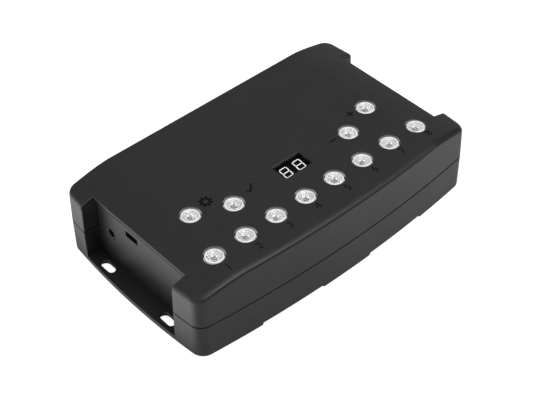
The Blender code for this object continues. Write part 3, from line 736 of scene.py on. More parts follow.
class DMX_OT_top_shell(bpy.types.Operator):
    """Make the upper shell, with its soft front rim, crowned deck, key holes and window"""

    bl_idname = "dmx_player.top_shell"
    bl_label = "Top shell"

    def execute(self, context):
        case = context.scene.dmx_case
        low = SEAM_HEIGHT + SEAM_GAP / 2
        above = HEIGHT + REACH
        levels, lean = rim_levels(low, case)
        shell = case_block("top_shell_skin", *levels)
        brow = RECESS_FACE + RECESS_BROW
        recess = end_boxes("recess", brow, HALF_LENGTH + REACH, 0.0, -REACH, above)
        shell = combined("shell", shell, (CUT, recess))
        shell = rounded(shell, recess_edges(brow, low), case.recess_round, 4)
        room = WALL - LIP_THICKNESS - GAP
        start = low - OVERLAP
        behind = RECESS_FACE - WALL - OVERLAP
        spots = [key_spot(name) for name in KEYS]
        screws = screw_spots("case_screw")
        under = HEIGHT - 2 * WALL
        over = HEIGHT + OVERLAP
        window = window_outline(0.0)
        flare = window_outline(2 * (WINDOW_CHAMFER + OVERLAP))
        groove = (HEIGHT - GROOVE_DROP - GROOVE_WIDTH, HEIGHT - GROOVE_DROP)
        shell = combined(
            "top_shell_skin", shell,
            (CUT, inner_block("cavity", WALL, WALL + lean, start, HEIGHT - WALL)),
            (CUT, inner_block("lip_room", room, room, start, SEAM_HEIGHT + LIP_HEIGHT + GAP)),
            (CUT, end_boxes("inner_wall", behind, brow + OVERLAP, 0.0, 0.0, RECESS_SEAM + GAP / 2)),
            (CUT, end_boxes("groove", brow - GROOVE_WIDTH, HALF_LENGTH + REACH, GROOVE_WIDTH, *groove)),
            (JOIN, posts("posts", screws, POST_RADIUS, low, HEIGHT - WALL / 2)),
            (CUT, posts("bites", screws, SCREW_SHANK + GAP, 0.0, low + CASE_BITE)),
            (CUT, posts("key_holes", spots, KEY_HOLE, under, above, ROUND_STEPS)),
            (CUT, sinks("key_sinks", spots, KEY_HOLE, HEIGHT - KEY_HOLE_CHAMFER, over)),
            (CUT, loft("window", [(window, under), (window, above)])),
            (CUT, loft("window_sink", [(window, HEIGHT - WINDOW_CHAMFER), (flare, over)])),
        )
        piece("top_shell_skin", crowned(shell, under), "case plastic", nodes=["top_shell"])
        return {"FINISHED"}


def slot_outline(x, y, margin=0.0):
    """Outline of one mounting slot, with round ends, running along Y."""
    radius = SLOT_WIDTH / 2 + margin
    straight = (SLOT_LENGTH - SLOT_WIDTH) / 2
    ends = arc((x, y + straight), radius, 0.0, math.pi, ARC_STEPS)
    return ends + arc((x, y - straight), radius, math.pi, 2 * math.pi, ARC_STEPS)


class DMX_OT_bottom_shell(bpy.types.Operator):
    """Make the lower shell, with its flanges, slots, screw wells and notches"""

    bl_idname = "dmx_player.bottom_shell"
    bl_label = "Bottom shell"

    def execute(self, context):
        case = context.scene.dmx_case
        high = SEAM_HEIGHT - SEAM_GAP / 2
        seam = case.seam_chamfer
        levels = []
        for step in range(5):
            angle = math.pi / 2 * step / 4
            levels.append((case.base_round * (1 - math.sin(angle)), case.base_round * (1 - math.cos(angle))))
        shell = case_block("bottom_shell_skin", *levels, (0.0, high - seam), (seam, high))
        inset = WALL - LIP_THICKNESS
        lip = inner_block("lip", inset, inset, high - OVERLAP, SEAM_HEIGHT + LIP_HEIGHT, WALL + OVERLAP)
        behind = RECESS_FACE - WALL - OVERLAP
        wall_top = RECESS_SEAM - GAP / 2
        walls = end_boxes("walls", behind, RECESS_FACE + OVERLAP, -GAP, high - OVERLAP, wall_top)
        slots = []
        for spot in SLOT_SPOTS:
            narrow, wide = slot_outline(*spot), slot_outline(*spot, SLOT_CHAMFER + OVERLAP)
            relief = slot_outline(*spot, SLOT_RELIEF)
            slots += [
                (CUT, loft("slot", [(narrow, -REACH), (narrow, FLOOR + REACH)])),
                (CUT, loft("slot_sink", [(narrow, FLOOR - SLOT_CHAMFER), (wide, FLOOR + OVERLAP)])),
                (CUT, loft("slot_relief", [(relief, -REACH), (relief, FLOOR - SLOT_SKIN)])),
            ]
        notches = []
        for side in SIDES:
            for end in SIDES:
                x = sorted(side * edge for edge in NOTCH_X)
                y = sorted((end * (HALF_DEPTH - NOTCH_DEPTH), end * (HALF_DEPTH + REACH)))
                notches.append(box("notch", (x[0], y[0], -REACH), (x[1], y[1], NOTCH_HEIGHT)))
        screws = screw_spots("case_screw")
        boards = screw_spots("board_screw")
        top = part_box("circuit_board")[0].z - GAP
        clear = SCREW_SHANK + GAP
        shell = combined(
            "bottom_shell_skin", shell,
            (JOIN, lip),
            (JOIN, walls),
            (CUT, recess_boxes("recess", 0.0, FLOOR, HEIGHT)),
            (CUT, inner_block("cavity", WALL, WALL, FLOOR, HEIGHT)),
            (JOIN, posts("feet", screws, FOOT_RADIUS, FLOOR / 2, high)),
            (JOIN, posts("board_posts", boards, BOARD_POST_RADIUS, FLOOR / 2, top)),
            (CUT, posts("clearance", screws, clear, CASE_HEAD_SEAT - OVERLAP, HEIGHT)),
            (CUT, posts("head_wells", screws, SCREW_HEAD + GAP, -REACH, CASE_HEAD_SEAT)),
            (CUT, posts("bites", boards, clear, top - BOARD_BITE, HEIGHT)),
            (CUT, wall_openings()),
            *slots,
            (CUT, together("notches", notches)),
        )
        shell = rounded(shell, recess_edges(RECESS_FACE, FLOOR, high, wall_top), case.recess_round * 0.6, 3)
        piece("bottom_shell_skin", shell, "case plastic", nodes=["bottom_shell"])
        return {"FINISHED"}


class DMX_OT_keys(bpy.types.Operator):
    """Make the twelve lit keys: a milky cap, its clear lens, and the lamp chip with two glowing beads behind it"""

    bl_idname = "dmx_player.keys"
    bl_label = "Keys"

    def execute(self, context):
        for name in KEYS:
            self.make_key(name, context.scene.dmx_keys)
        return {"FINISHED"}

    def make_key(self, name, keys):
        """Make one key, with everything under its lens."""
        x, y = key_spot(name)
        low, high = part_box(name)
        top = HEIGHT - crown_drop(x) - keys.sinkage
        radius = KEY_RADIUS
        collar = (high.x - low.x) / 2 - KEY_SHIFT
        collar_top = HEIGHT - crown_drop(abs(x) + collar) - WALL - GAP - top
        collar_low = collar_top - KEY_COLLAR_HEIGHT
        stem = low.z - top
        ring = radius - keys.rim_width
        seat = -keys.lens_drop
        cup = seat - CUP_DEPTH
        profile = [
            (0.0, cup), (0.0013, cup), (0.0017, cup + 0.0002), (ring - 0.0004, seat - 0.0005),
            (ring - 0.00025, seat - 0.0004), (ring, seat - 0.0004), (ring, -0.00012), (ring + 0.00004, -0.00004),
            (ring + 0.00012, 0.0), (radius - 0.00042, 0.0), (radius - 0.00024, -0.00006),
            (radius - 0.00010, -0.00018), (radius - 0.00003, -0.00034), (radius, -0.00050), (radius, collar_top),
            (collar, collar_top), (collar, collar_low), (KEY_STEM, collar_low), (KEY_STEM, stem), (0.0, stem),
        ]
        cap = turned(name + "_cap", profile)
        piece(name + "_cap", cap, "milky plastic", name, [name], (x, y, top))
        edge = ring - 0.00008
        dome = [(edge * i / 10, seat + keys.dome * (1 - (i / 10) ** 2)) for i in range(11)]
        lens = turned(name + "_lens", [*dome, (edge, seat - 0.00035), (0.0, seat - 0.00035)])
        piece(name + "_lens", lens, "clear plastic", name, centre=(x, y, top))
        half = keys.lamp_size / 2
        chip = rounded(box("chip", (-half, -half, 0.0), (half, half, LAMP_HEIGHT)), is_corner, 0.00008, 2)
        floor = top + cup + 0.00002
        place = (x - LAMP_SHIFT, y - LAMP_SHIFT, floor)
        piece(name + "_lamp", chip, "lamp chip", name, centre=place)
        # two glowing beads beside the chip: painted highlights that show as two bright spots under each lens
        bead = [(BEAD_RADIUS * math.cos(a), 0.0003 + 0.00025 * math.sin(a)) for a in (0.0, 0.4, 0.8, 1.2)]
        bead = [(0.0, 0.0), (BEAD_RADIUS, 0.0), *bead, (0.0, 0.00055)]
        beads = []
        for side in SIDES:
            shift = (LAMP_SHIFT + BEAD_SPREAD * side, LAMP_SHIFT - BEAD_SPREAD * side, 0.0)
            beads.append(moved(turned("bead", bead, steps=24), shift))
        beads = together(name + "_glow", beads)
        piece(name + "_glow", beads, "lamp bead", name, centre=(x, y, floor))


SEGMENTS = {
    "0": "abcdef", "1": "bc", "2": "abged", "3": "abgcd", "4": "fgbc", "5": "afgcd", "6": "afgedc",
    "7": "abc", "8": "abcdefg", "9": "abcdfg",
}


def segment_points(width, height, stroke):
    """Mitred outline of each segment of a digit round the origin, by its letter."""
    w, h, t, cut = width / 2 - stroke / 2, height / 2 - stroke / 2, stroke / 2, 0.00012

    def bar(x, y, reach, upright):
        """Outline of one segment, with pointed ends."""
        ends = [(-reach + cut, 0), (-reach + t + cut, t), (reach - t - cut, t),
                (reach - cut, 0), (reach - t - cut, -t), (-reach + t + cut, -t)]
        return [(x + b, y + a) if upright else (x + a, y + b) for a, b in ends]

    return {
        "a": bar(0, h, w, False), "g": bar(0, 0, w, False), "d": bar(0, -h, w, False),
        "f": bar(-w, h / 2, h / 2, True), "b": bar(w, h / 2, h / 2, True),
        "e": bar(-w, -h / 2, h / 2, True), "c": bar(w, -h / 2, h / 2, True),
    }


class DMX_OT_display(bpy.types.Operator):
    """Make the two-digit display: its moulded body, dark face and lit segments"""

    bl_idname = "dmx_player.display"
    bl_label = "Display"

    def execute(self, context):
        display = context.scene.dmx_display
        low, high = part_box("display_body")
        body = box("display_body_shell", low, (high.x, high.y, high.z - DISPLAY_FACE))
        body = rounded(body, lambda edge: edge.verts[0].co.z != edge.verts[1].co.z, 0.0003, 3)
        piece("display_body_shell", body, "display body", nodes=["display_body"])
        face = box("display_face", (low.x, low.y, high.z - DISPLAY_FACE), high)
        face = rounded(face, lambda edge: min(v.co.z for v in edge.verts) > high.z - 0.0001, 0.00015, 2)
        piece("display_face", face, "display face")
        middle = (low + high) / 2
        for index, digit in enumerate(display.digits):
            x = middle.x + DIGIT_SHIFT + (index - (len(display.digits) - 1) / 2) * display.pitch
            for letter in SEGMENTS[digit]:
                points = segment_points(display.digit_width, display.digit_height, display.stroke)[letter]
                slanted = [(x + a + b * display.slant, middle.y + b) for a, b in points]
                bar = loft("bar", [(slanted, high.z - 0.0001), (slanted, high.z + 0.00005)])
                bar = rounded(bar, lambda edge: min(v.co.z for v in edge.verts) > high.z, 0.00002, 1)
                piece(f"digit_{index + 1}_{letter}", bar, "display segment")
        return {"FINISHED"}


def text_mesh(name, text, size):
    """A filled outline of plain characters, flat on the ground round the origin."""
    letters = bpy.data.curves.new(name, "FONT")
    letters.body = text
    letters.size = size
    letters.align_x = "CENTER"
    letters.align_y = "CENTER"
    letters.extrude = INK
    letters.resolution_u = 6
    holder = add_object(name, letters)
    model = opened(evaluated(holder))
    bpy.data.objects.remove(holder)
    bmesh.ops.remove_doubles(model, verts=model.verts, dist=1e-7)
    return mesh_from(name, model)


def flat_shape(name, points):
    """A thin plate with the given outline."""
    return loft(name, [(points, -INK), (points, INK)])


def gear_mesh(radius):
    """A cog wheel with a hole through its middle."""
    teeth = 8
    points = []
    for index in range(teeth):
        for share, reach in ((-0.30, 0.72), (-0.20, 1.0), (0.20, 1.0), (0.30, 0.72)):
            angle = 2 * math.pi * (index + share) / teeth
            points.append((radius * reach * math.cos(angle), radius * reach * math.sin(angle)))
    hole = rod("gear_hole", radius * 0.38, (0.0, 0.0, -0.001), 0.001, "Z", 40)
    return combined("gear", flat_shape("gear", points), (CUT, hole))


def stroke_mesh(name, path, width):
    """A flat line of even width along a bent path of three points or fewer."""
    left, right = [], []
    for index, point in enumerate(path):
        before = Vector(path[max(index - 1, 0)])
        after = Vector(path[min(index + 1, len(path) - 1)])
        here = Vector(point)
        first = (here - before).normalized() if index else (after - here).normalized()
        last = (after - here).normalized() if index < len(path) - 1 else first
        normal = Vector((-(first + last).y, (first + last).x)).normalized()
        reach = width / 2 / max(0.4, normal.dot(Vector((-first.y, first.x))))
        left.append(here + normal * reach)
        right.append(here - normal * reach)
    return flat_shape(name, [tuple(p) for p in right + left[::-1]])


LEGEND_SPOTS = {
    "1": (-0.0594, -0.0387), "2": (-0.0424, -0.0385), "3": (-0.0249, -0.0384), "4": (-0.0084, -0.0377),
    "5": (0.0088, -0.0381), "6": (0.0257, -0.0376), "7": (0.0431, -0.0376), "8": (0.0609, -0.0368),
    "gear": (-0.0420, -0.0032), "tick": (-0.0236, -0.0115), "minus": (0.0255, -0.0116), "plus": (0.0440, -0.0036),
}


class DMX_OT_legends(bpy.types.Operator):
    """Make the marks on the deck: the numbers 1 to 8, a gear, a tick, a minus and a plus"""

    bl_idname = "dmx_player.legends"
    bl_label = "Legends"

    def execute(self, context):
        legend = context.scene.dmx_legend
        marks = {text: text_mesh("mark", text, legend.size) for text in "12345678"}
        marks["gear"] = gear_mesh(legend.gear)
        marks["tick"] = stroke_mesh("tick", [(-0.0016, 0.0010), (0.0, 0.0), (0.0034, 0.0038)], legend.line)
        bar = stroke_mesh("bar", [(-0.0019, 0.0), (0.0019, 0.0)], legend.line)
        marks["minus"] = bar.copy()
        upright = stroke_mesh("upright", [(0.0, -0.0019), (0.0, 0.0019)], legend.line)
        marks["plus"] = combined("plus", bar, (JOIN, upright))
        for text, mesh in marks.items():
            x, y = LEGEND_SPOTS[text]
            model = opened(mesh)
            for vertex in model.verts:
                vertex.co.x += x
                vertex.co.y += y
                vertex.co.z += HEIGHT - crown_drop(vertex.co.x)
            name = "mark_" + text
            piece(name, mesh_from(name, model), "legend ink")
        return {"FINISHED"}


class DMX_OT_sockets(bpy.types.Operator):
    """Make the mini USB socket, the power jack and the DMX socket"""

    bl_idname = "dmx_player.sockets"
    bl_label = "Sockets"

    def execute(self, context):
        self.make_usb()
        self.make_jack()
        self.make_dmx()
        return {"FINISHED"}

    def make_usb(self):
        """The mini USB socket: a folded sheet round a tongue with five contacts."""
        low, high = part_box("usb_socket_shell")
        y, z = socket_middle("usb_socket_shell")

        def outline(margin):
            """The mouth's outline, moved inward by a margin."""
            wide, deep = (high.y - low.y) / 2 - margin, (high.z - low.z) / 2 - margin
            throat = wide * 0.80
            return [(-wide, deep), (wide, deep), (wide, -deep * 0.15), (throat, -deep), (-throat, -deep),
                    (-wide, -deep * 0.15)]

        def tube(name, points, start, stop):
            """A solid along X through an outline in Y and Z."""
            model = bmesh.new()
            rings = [[model.verts.new((x, y + a, z + b)) for a, b in points] for x in (start, stop)]
            for i in range(len(points)):
                model.faces.new((rings[0][i - 1], rings[0][i], rings[1][i], rings[1][i - 1]))
            model.faces.new(rings[0])
            model.faces.new(rings[1])
            return mesh_from(name, model)

        shell = rounded(tube("shell", outline(0.0), low.x, high.x), runs_along, 0.0005, 4)
        room = rounded(tube("room", outline(USB_SHEET), low.x - REACH, high.x - USB_SHEET), runs_along, 0.0004, 4)
        shell = combined("usb_shell", shell, (CUT, room))
        piece("usb_shell", shell, "plated steel", nodes=["usb_socket_shell"])
        block_low, block_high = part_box("usb_contact_block")
        block = box("block", (block_high.x - 0.0020, y - 0.0031, z - 0.0012), (block_high.x, y + 0.0031, z + 0.0012))
        tongue = box(
            "tongue", (low.x + 0.0003, y - 0.0030, z - 0.0003), (block_high.x - 0.0010, y + 0.0024, z + 0.0009),
        )
        block = combined("usb_tongue", block, (JOIN, tongue))
        block = rounded(block, is_corner, 0.00012, 2)
        piece("usb_tongue", block, "display body", nodes=["usb_contact_block"])
        for index in range(5):
            side = y + (index - 2) * 0.0008
            strip = box("strip", (block_low.x + 0.0003, side - 0.0002, z - 0.00052),
                        (block_high.x - 0.0020, side + 0.0002, z - 0.00038))
            strip = rounded(strip, is_corner, 0.00004, 2)
            piece(f"usb_contact_{index + 1}", strip, "gold contact")

    def make_jack(self):
        """The power jack, its pin and its spring."""
        low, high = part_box("power_jack_body")
        y, z = socket_middle("power_jack_body")
        block = rounded(box("jack", low, high), is_corner, 0.0004, 3)
        nose = rod("nose", JACK_NOSE, (0.0002 - RECESS_FACE, y, z), low.x + OVERLAP, "X")
        bore = rod("bore", JACK_BORE, (-HALF_LENGTH, y, z), low.x + 0.0100, "X")
        block = combined("power_jack_housing", block, (JOIN, nose), (CUT, bore))
        piece("power_jack_housing", block, "black resin", nodes=["power_jack_body"])
        pin_low, pin_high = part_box("power_jack_pin")
        length = pin_high.x - pin_low.x
        profile = [(0.0, 0.0), (0.0005, 0.00003), (0.0008, 0.0002), (0.00095, 0.00045), (JACK_PIN, 0.0008),
                   (JACK_PIN, length), (0.0, length)]
        pin = turned("power_jack_pin_turned", profile, "X", 32)
        piece("power_jack_pin_turned", pin, "black screw steel", nodes=["power_jack_pin"],
              centre=(pin_low.x, y, z))
        leaf = box("leaf", (low.x + 0.0022, y - 0.0009, z - 0.0031), (low.x + 0.0090, y + 0.0009, z - 0.0028))
        leaf = rounded(leaf, is_corner, 0.0001, 2)
        piece("power_jack_spring", leaf, "plated steel")

    def make_dmx(self):
        """The three-pin DMX socket behind the right recess."""
        low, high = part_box("dmx_socket_body")
        y, z = socket_middle("dmx_socket_body")
        front = RECESS_FACE - WALL - GAP
        block = rounded(box("block", low, (front, high.y, high.z)), is_corner, 0.0008, 3)
        start = low.x + 0.0005
        nose = turned("nose", [(0.0, start), (DMX_NOSE, start), (DMX_NOSE, high.x - 0.0003),
                               (DMX_NOSE - 0.0003, high.x), (0.0, high.x)], "X", 96)
        nose = moved(nose, (0.0, y, z))
        floor = RECESS_FACE - 0.0150
        bore = turned("bore", [(0.0, floor), (DMX_BORE, floor), (DMX_BORE, high.x - 0.0004),
                               (DMX_BORE + 0.0014, high.x + 0.0010), (0.0, high.x + 0.0010)], "X", 96)
        bore = moved(bore, (0.0, y, z))
        body = combined("dmx_socket_housing", block, (JOIN, nose), (CUT, bore))
        piece("dmx_socket_housing", body, "black resin", nodes=["dmx_socket_body"])
        insert_low, insert_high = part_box("dmx_socket_insert")
        length = insert_high.x - insert_low.x
        insert = turned("insert", [(0.0, 0.0), (DMX_CORE, 0.0), (DMX_CORE, length - 0.0004),
                                   (DMX_CORE - 0.0004, length), (0.0, length)], "X", 96)
        key = box("key", (0.002, -0.0010, 0.0068), (length + 0.001, 0.0010, 0.0090))
        cuts = [(CUT, key)]
        for index in range(3):
            angle = math.radians(90 + 120 * index)
            side, up = DMX_PIN_CIRCLE * math.cos(angle), -DMX_PIN_CIRCLE * math.sin(angle)
            hole = turned("hole", [(0.0, length - 0.0100), (0.0014, length - 0.0100), (0.0014, length - 0.0004),
                                   (0.0022, length + 0.0004), (0.0, length + 0.0004)], "X", 32)
            cuts.append((CUT, moved(hole, (0.0, side, up))))
            sleeve = turned("sleeve", [(0.0008, 0.0), (0.00125, 0.0), (0.00125, 0.0085), (0.0011, 0.0086),
                                       (0.0008, 0.0084), (0.0008, 0.0)], "X", 32)
            piece(f"dmx_contact_{index + 1}", sleeve, "gold contact",
                  centre=(insert_high.x - 0.0098, y + side, z + up))
        insert = combined("dmx_socket_core", insert, *cuts)
        piece("dmx_socket_core", insert, "switch resin", nodes=["dmx_socket_insert"],
              centre=(insert_low.x, y, z))


def screw_mesh(length):
    """A pan head screw with a cross recess and a threaded shank, head up, its seat at the origin."""
    head = [(0.0, SCREW_HEAD_HEIGHT)]
    for step in range(1, 9):
        angle = math.pi / 2 * step / 8
        head.append((SCREW_HEAD * math.sin(angle), SCREW_HEAD_HEIGHT * (0.45 + 0.55 * math.cos(angle))))
    head += [(SCREW_HEAD, 0.0), (0.0, 0.0)]
    top = turned("head", head, steps=48)
    bars = []
    for across, along in ((0.0030, 0.0007), (0.0007, 0.0030)):
        bars.append((CUT, box(
            "bar", (-across / 2, -along / 2, SCREW_HEAD_HEIGHT - 0.0010), (across / 2, along / 2, 0.0030),
        )))
    top = combined("head", top, *bars)
    model = bmesh.new()
    pitch, turns, rows = 0.0008, 20, 6
    count = int(length / pitch * rows)
    rings = []
    for row in range(count + 1):
        depth = length * row / count
        taper = min(1.0, (length - depth) / 0.0012 + 0.15)
        ring = []
        for step in range(turns):
            phase = (depth / pitch + step / turns) % 1.0
            radius = (SCREW_SHANK - 0.00035 * abs(2 * phase - 1)) * taper
            angle = 2 * math.pi * step / turns
            ring.append(model.verts.new((radius * math.cos(angle), radius * math.sin(angle), -depth)))
        rings.append(ring)
    for upper, lower in zip(rings, rings[1:]):
        for step in range(turns):
            model.faces.new((upper[step - 1], upper[step], lower[step], lower[step - 1]))
    model.faces.new(rings[0])
    model.faces.new(rings[-1])
    return together("screw", [top, mesh_from("shank", model)])


class DMX_OT_screws(bpy.types.Operator):
    """Make the eight screws, with their cross recesses and threads"""

    bl_idname = "dmx_player.screws"
    bl_label = "Screws"

    def execute(self, context):
        for prefix, up in (("case_screw", -1), ("board_screw", 1)):
            for index in range(1, 5):
                node = f"{prefix}_{index}"
                low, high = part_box(node)
                seat = low.z + SCREW_HEAD_HEIGHT if up < 0 else high.z - SCREW_HEAD_HEIGHT
                length = high.z - low.z - SCREW_HEAD_HEIGHT
                mesh = screw_mesh(length)
                if up < 0:
                    mesh.transform(Matrix.Rotation(math.pi, 4, "X"))
                centre = ((low.x + high.x) / 2, (low.y + high.y) / 2, seat)
                piece(node + "_turned", mesh, "black screw steel", nodes=[node], centre=centre)
        return {"FINISHED"}


class DMX_OT_board(bpy.types.Operator):
    """Finish the circuit board and every component on it"""

    bl_idname = "dmx_player.board"
    bl_label = "Board"

    def execute(self, context):
        finishes = {
            "circuit_board": "board mask",
            "crystal": "plated steel",
            "capacitor_1": "can aluminium",
            "capacitor_2": "can aluminium",
            "capacitor_3": "can aluminium",
        }
        for name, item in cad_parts.items():
            label = finishes.get(name, "switch resin" if name.startswith("switch") else "black resin")
            for place in item.material_slots:
                place.material = finish(label)
            if not item.material_slots:
                item.data.materials.append(finish(label))
        return {"FINISHED"}


def floor_material(name, stage):
    """A pale table that keeps shadows, looks white to the camera, and mirrors brighter at its ends and in front."""
    material = bpy.data.materials.new(name)
    material.use_nodes = True
    tree = material.node_tree
    tree.nodes.clear()
    path = add_node(tree, "LightPath")
    seen = maths(tree, "MAXIMUM", path.outputs["Is Camera Ray"], path.outputs["Is Transmission Ray"])
    place = add_node(tree, "TexCoord").outputs["Object"]
    along = add_node(tree, "SeparateXYZ", Vector=place).outputs
    left = maths(
        tree, "MULTIPLY", spread(tree, along["X"], *LEFT_FADE, stage.left_glow, 0.0),
        spread(tree, along["Y"], *LEFT_REACH),
    )
    near = maths(
        tree, "MULTIPLY", spread(tree, along["X"], *RIGHT_FADE, stage.front_glow, stage.right_glow),
        spread(tree, along["Y"], *NEAR_FADE, 1.3, 0.7),
    )
    far = spread(tree, along["Y"], *FAR_FADE, stage.far_glow, 0.0)
    ends = maths(tree, "ADD", left, maths(tree, "ADD", near, far))
    mirrored = maths(tree, "MULTIPLY", ends, path.outputs["Is Glossy Ray"])
    strength = maths(tree, "ADD", maths(tree, "MULTIPLY", seen, stage.floor_white), mirrored)
    paper = add_node(tree, "TexNoise", Vector=place, Scale=400.0, Detail=3.0)
    colour = tuple(stage.floor_colour)
    tint = mixed(tree, paper.outputs[0], colour, shade(colour, 0.98))
    diffuse = add_node(tree, "BsdfDiffuse", Color=tint)
    glow = add_node(tree, "Emission", Color=(1.0, 1.0, 1.0, 1.0), Strength=strength)
    both = add_node(tree, "AddShader", in0=diffuse.outputs[0], in1=glow.outputs[0])
    out = tree.nodes.new("ShaderNodeOutputMaterial")
    feed(out, Surface=both.outputs[0])
    return material


def grid_mesh(name, width, depth, cells):
    """A flat rectangle of a few cells round the origin."""
    model = bmesh.new()
    bmesh.ops.create_grid(model, x_segments=cells, y_segments=cells, size=0.5)
    bmesh.ops.scale(model, vec=(width, depth, 1.0), verts=model.verts)
    return mesh_from(name, model)


def facing(place):
    """The turn that points something at a place towards the origin."""
    return (-Vector(place)).to_track_quat("-Z", "Y").to_euler()


class DMX_OT_stage(bpy.types.Operator):
    """Set the pale floor, the soft lamps, the dark cards that shape the reflections, and the camera"""

    bl_idname = "dmx_player.stage"
    bl_label = "Stage"

    def execute(self, context):
        stage = context.scene.dmx_stage
        scene = context.scene
        self.make_floor(stage)
        self.make_world(stage)
        self.make_lamp("overhead lamp", (0.22, -0.38, 0.95), (0.8, 0.8), stage.overhead)
        self.make_lamp("left lamp", (-0.8, 0.5, 0.55), (0.5, 0.5), stage.left)
        self.make_lamp("rim lamp", (0.02, -0.33, 0.98), (0.3, 0.3), stage.rim)
        self.make_card("front card", (0.55, -1.05, 0.56), (2.2, 0.95))
        self.make_card("right card", (1.15, 0.0, 0.62), (0.9, 0.75))
        scene.view_settings.view_transform = "Standard"
        self.make_camera(stage)
        return {"FINISHED"}

    def make_floor(self, stage):
        """A wide table just under the case."""
        floor = add_object("studio_floor", grid_mesh("studio_floor", 8.0, 8.0, 8), (0.0, 0.0, -0.0001))
        floor.data.materials.append(floor_material("studio floor", stage))

    def make_world(self, stage):
        """Even light from all round, white where it is seen."""
        world = bpy.data.worlds.new("studio")
        world.use_nodes = True
        tree = world.node_tree
        tree.nodes.clear()
        path = add_node(tree, "LightPath")
        seen = maths(tree, "MAXIMUM", path.outputs["Is Camera Ray"], path.outputs["Is Transmission Ray"])
        strength = spread(tree, seen, 0.0, 1.0, stage.world_light, 1.0)
        light = add_node(tree, "Background", Color=(1.0, 1.0, 1.0, 1.0), Strength=strength)
        out = tree.nodes.new("ShaderNodeOutputWorld")
        feed(out, Surface=light.outputs[0])
        bpy.context.scene.world = world

    def make_lamp(self, name, place, size, power):
        """A soft lamp that faces the case."""
        lamp = bpy.data.lights.new(name, "AREA")
        lamp.shape = "RECTANGLE"
        lamp.size, lamp.size_y = size
        lamp.energy = power
        add_object(name, lamp, place).rotation_euler = facing(place)

    def make_card(self, name, place, size):
        """A dark card that only shows in reflections."""
        card = add_object(name.replace(" ", "_"), grid_mesh(name, *size, 2), place)
        card.rotation_euler = facing(place)
        card.data.materials.append(finish("black resin"))
        card.visible_camera = False
        card.visible_diffuse = False
        card.visible_shadow = False

    def make_camera(self, stage):
        """A camera at the photograph's place and angle."""
        azimuth, elevation, roll = stage.azimuth, stage.elevation, stage.roll
        back = Vector((
            math.sin(azimuth) * math.cos(elevation), -math.cos(azimuth) * math.cos(elevation), math.sin(elevation),
        ))
        right = Vector((math.cos(azimuth), math.sin(azimuth), 0.0))
        up = back.cross(right)
        across = math.cos(roll) * right + math.sin(roll) * up
        upward = math.cos(roll) * up - math.sin(roll) * right
        lens = bpy.data.cameras.new("camera")
        lens.lens = stage.lens
        lens.sensor_width = 36.0
        lens.sensor_fit = "HORIZONTAL"
        camera = add_object("camera", lens)
        rotation = Matrix((across, upward, back)).transposed().to_4x4()
        camera.matrix_world = Matrix.Translation(Vector(stage.camera_place)) @ rotation
        bpy.context.scene.camera = camera


# Settings and panel

def number(name, description, default, **options):
    """A number that can be set."""
    return FloatProperty(name=name, description=description, default=default, **options)


def length(name, description, default):
    """A length that can be set."""
    return number(name, description, default, unit="LENGTH")


def angle(name, description, default):
    """An angle that can be set."""
    return number(name, description, default, subtype="ANGLE")


def tint(name, description, default):
    """A colour that can be set."""
    return FloatVectorProperty(
        name=name, description=description, subtype="COLOR", size=3, default=default, min=0.0, max=1.0,
    )


class CaseSettings(bpy.types.PropertyGroup):
    """Finish and edges of the two shells"""

    colour: tint("Colour", "Colour of the moulded plastic", (0.009, 0.009, 0.010))
    roughness: number("Roughness", "Roughness of the plastic", 0.42)
    gloss: number("Gloss", "Strength of the plastic's reflection", 0.50)
    grain_scale: number("Grain scale", "Fineness of the grain", 2600.0)
    grain_depth: number("Grain depth", "Depth of the grain", 0.75)
    brow_width: length("Front rim", "Width of the soft rim along the front", 0.0036)
    crease_round: length("Crease", "Softness of the crease under the front rim", 0.00020)
    recess_round: length("Recess round", "Radius of the edges round the end recesses", 0.0005)
    base_round: length("Base round", "Radius of the edge under the base", 0.0008)
    seam_chamfer: length("Seam", "Chamfer on both sides of the seam", 0.0002)


class KeySettings(bpy.types.PropertyGroup):
    """Shape and colour of the keys"""

    colour: tint("Colour", "Colour of the milky cap", (0.78, 0.78, 0.79))
    rim_width: length("Rim", "Width of the raised rim", 0.0006)
    sinkage: length("Sinkage", "How far a key's rim lies below the deck", 0.0005)
    # painted glow: light painted on the back of a cap's side and, by a share, on its rim
    painted_side_glow: number("Side light", "Light from the side of a cap", 2.5)
    painted_rim_share: number("Rim share", "Share of that light on top of the rim", 0.10)
    lens_drop: length("Lens drop", "Depth of the lens edge under the rim", 0.00035)
    dome: length("Dome", "Rise of the lens", 0.0003)
    lamp_size: length("Lamp", "Width of the lamp chip", 0.0019)


class DisplaySettings(bpy.types.PropertyGroup):
    """Digits of the display"""

    digits: StringProperty(name="Digits", description="Number that the display shows", default="88")
    colour: tint("Colour", "Colour of the segments", (0.90, 0.91, 0.92))
    # painted glow on the segments, which keeps them bright in the window's shade
    glow: number("Glow", "Light given off by the segments", 0.22)
    digit_height: length("Height", "Height of a digit", 0.0064)
    digit_width: length("Width", "Width of a digit", 0.0044)
    stroke: length("Stroke", "Width of a segment", 0.00052)
    pitch: length("Pitch", "Distance between digits", 0.0077)
    slant: number("Slant", "Lean of the digits", 0.10)


class LegendSettings(bpy.types.PropertyGroup):
    """Marks on the deck"""

    size: length("Size", "Height of a line of numbers", 0.0056)
    line: length("Line", "Width of the symbols' lines", 0.00085)
    gear: length("Gear", "Radius of the gear", 0.0033)


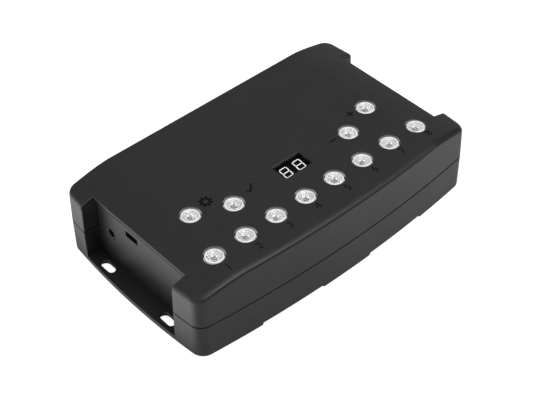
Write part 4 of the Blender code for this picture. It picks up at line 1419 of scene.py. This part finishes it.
class StageSettings(bpy.types.PropertyGroup):
    """Floor, lamps and camera"""

    floor_colour: tint("Floor", "Colour of the floor", (0.50, 0.50, 0.50))
    floor_white: number("Floor white", "White added where the floor is seen", 0.9)
    left_glow: number("Left glow", "Light mirrored from the table's left end", 1.5)
    right_glow: number("Right glow", "Light mirrored from the table's right end", 0.46)
    front_glow: number("Front glow", "Light mirrored from the rest of the table", 0.19)
    far_glow: number("Far glow", "Light mirrored from the table in front", 0.55)
    world_light: number("Sky", "Light from all round", 0.385)
    overhead: number("Overhead", "Power of the overhead lamp", 5.0)
    rim: number("Rim light", "Power of the lamp that lights the front rim", 2.0)
    left: number("Left", "Power of the lamp on the left", 1.5)
    lens: number("Lens", "Focal length in millimetres", 87.18)
    azimuth: angle("Azimuth", "Turn of the camera round the case", -0.7190)
    elevation: angle("Elevation", "Height angle of the camera", 0.7627)
    roll: angle("Roll", "Tilt of the camera", -0.0196)
    camera_place: FloatVectorProperty(
        name="Camera", description="Place of the camera", subtype="TRANSLATION", size=3,
        default=(-0.28431, -0.31951, 0.41859),
    )


PIECES = (
    DMX_OT_top_shell, DMX_OT_bottom_shell, DMX_OT_keys, DMX_OT_display, DMX_OT_legends, DMX_OT_sockets,
    DMX_OT_screws, DMX_OT_board, DMX_OT_stage,
)
SETTINGS = {
    "dmx_case": CaseSettings,
    "dmx_keys": KeySettings,
    "dmx_display": DisplaySettings,
    "dmx_legend": LegendSettings,
    "dmx_stage": StageSettings,
}


class DMX_PT_player(bpy.types.Panel):
    """Lists every piece of the player, and its settings"""

    bl_idname = "DMX_PT_player"
    bl_label = "DMX player"
    bl_space_type = "VIEW_3D"
    bl_region_type = "UI"
    bl_category = "DMX player"

    def draw(self, context):
        for maker in PIECES:
            self.layout.operator(maker.bl_idname)
        for label, kind in SETTINGS.items():
            group = getattr(context.scene, label)
            column = self.layout.column(heading=kind.__doc__)
            for key in kind.__annotations__:
                column.prop(group, key)


def register():
    """Add the settings, operators and panel to Blender."""
    for kind in (*SETTINGS.values(), *PIECES, DMX_PT_player):
        bpy.utils.register_class(kind)
    for label, kind in SETTINGS.items():
        setattr(bpy.types.Scene, label, PointerProperty(type=kind))


def unregister():
    """Take them out again."""
    for label in SETTINGS:
        delattr(bpy.types.Scene, label)
    for kind in (DMX_PT_player, *reversed(PIECES), *reversed(SETTINGS.values())):
        bpy.utils.unregister_class(kind)


def main():
    """Build the whole player and its stage."""
    register()
    for maker in PIECES:
        group, action = maker.bl_idname.split(".")
        getattr(getattr(bpy.ops, group), action)()


if __name__ == "__main__":
    main()
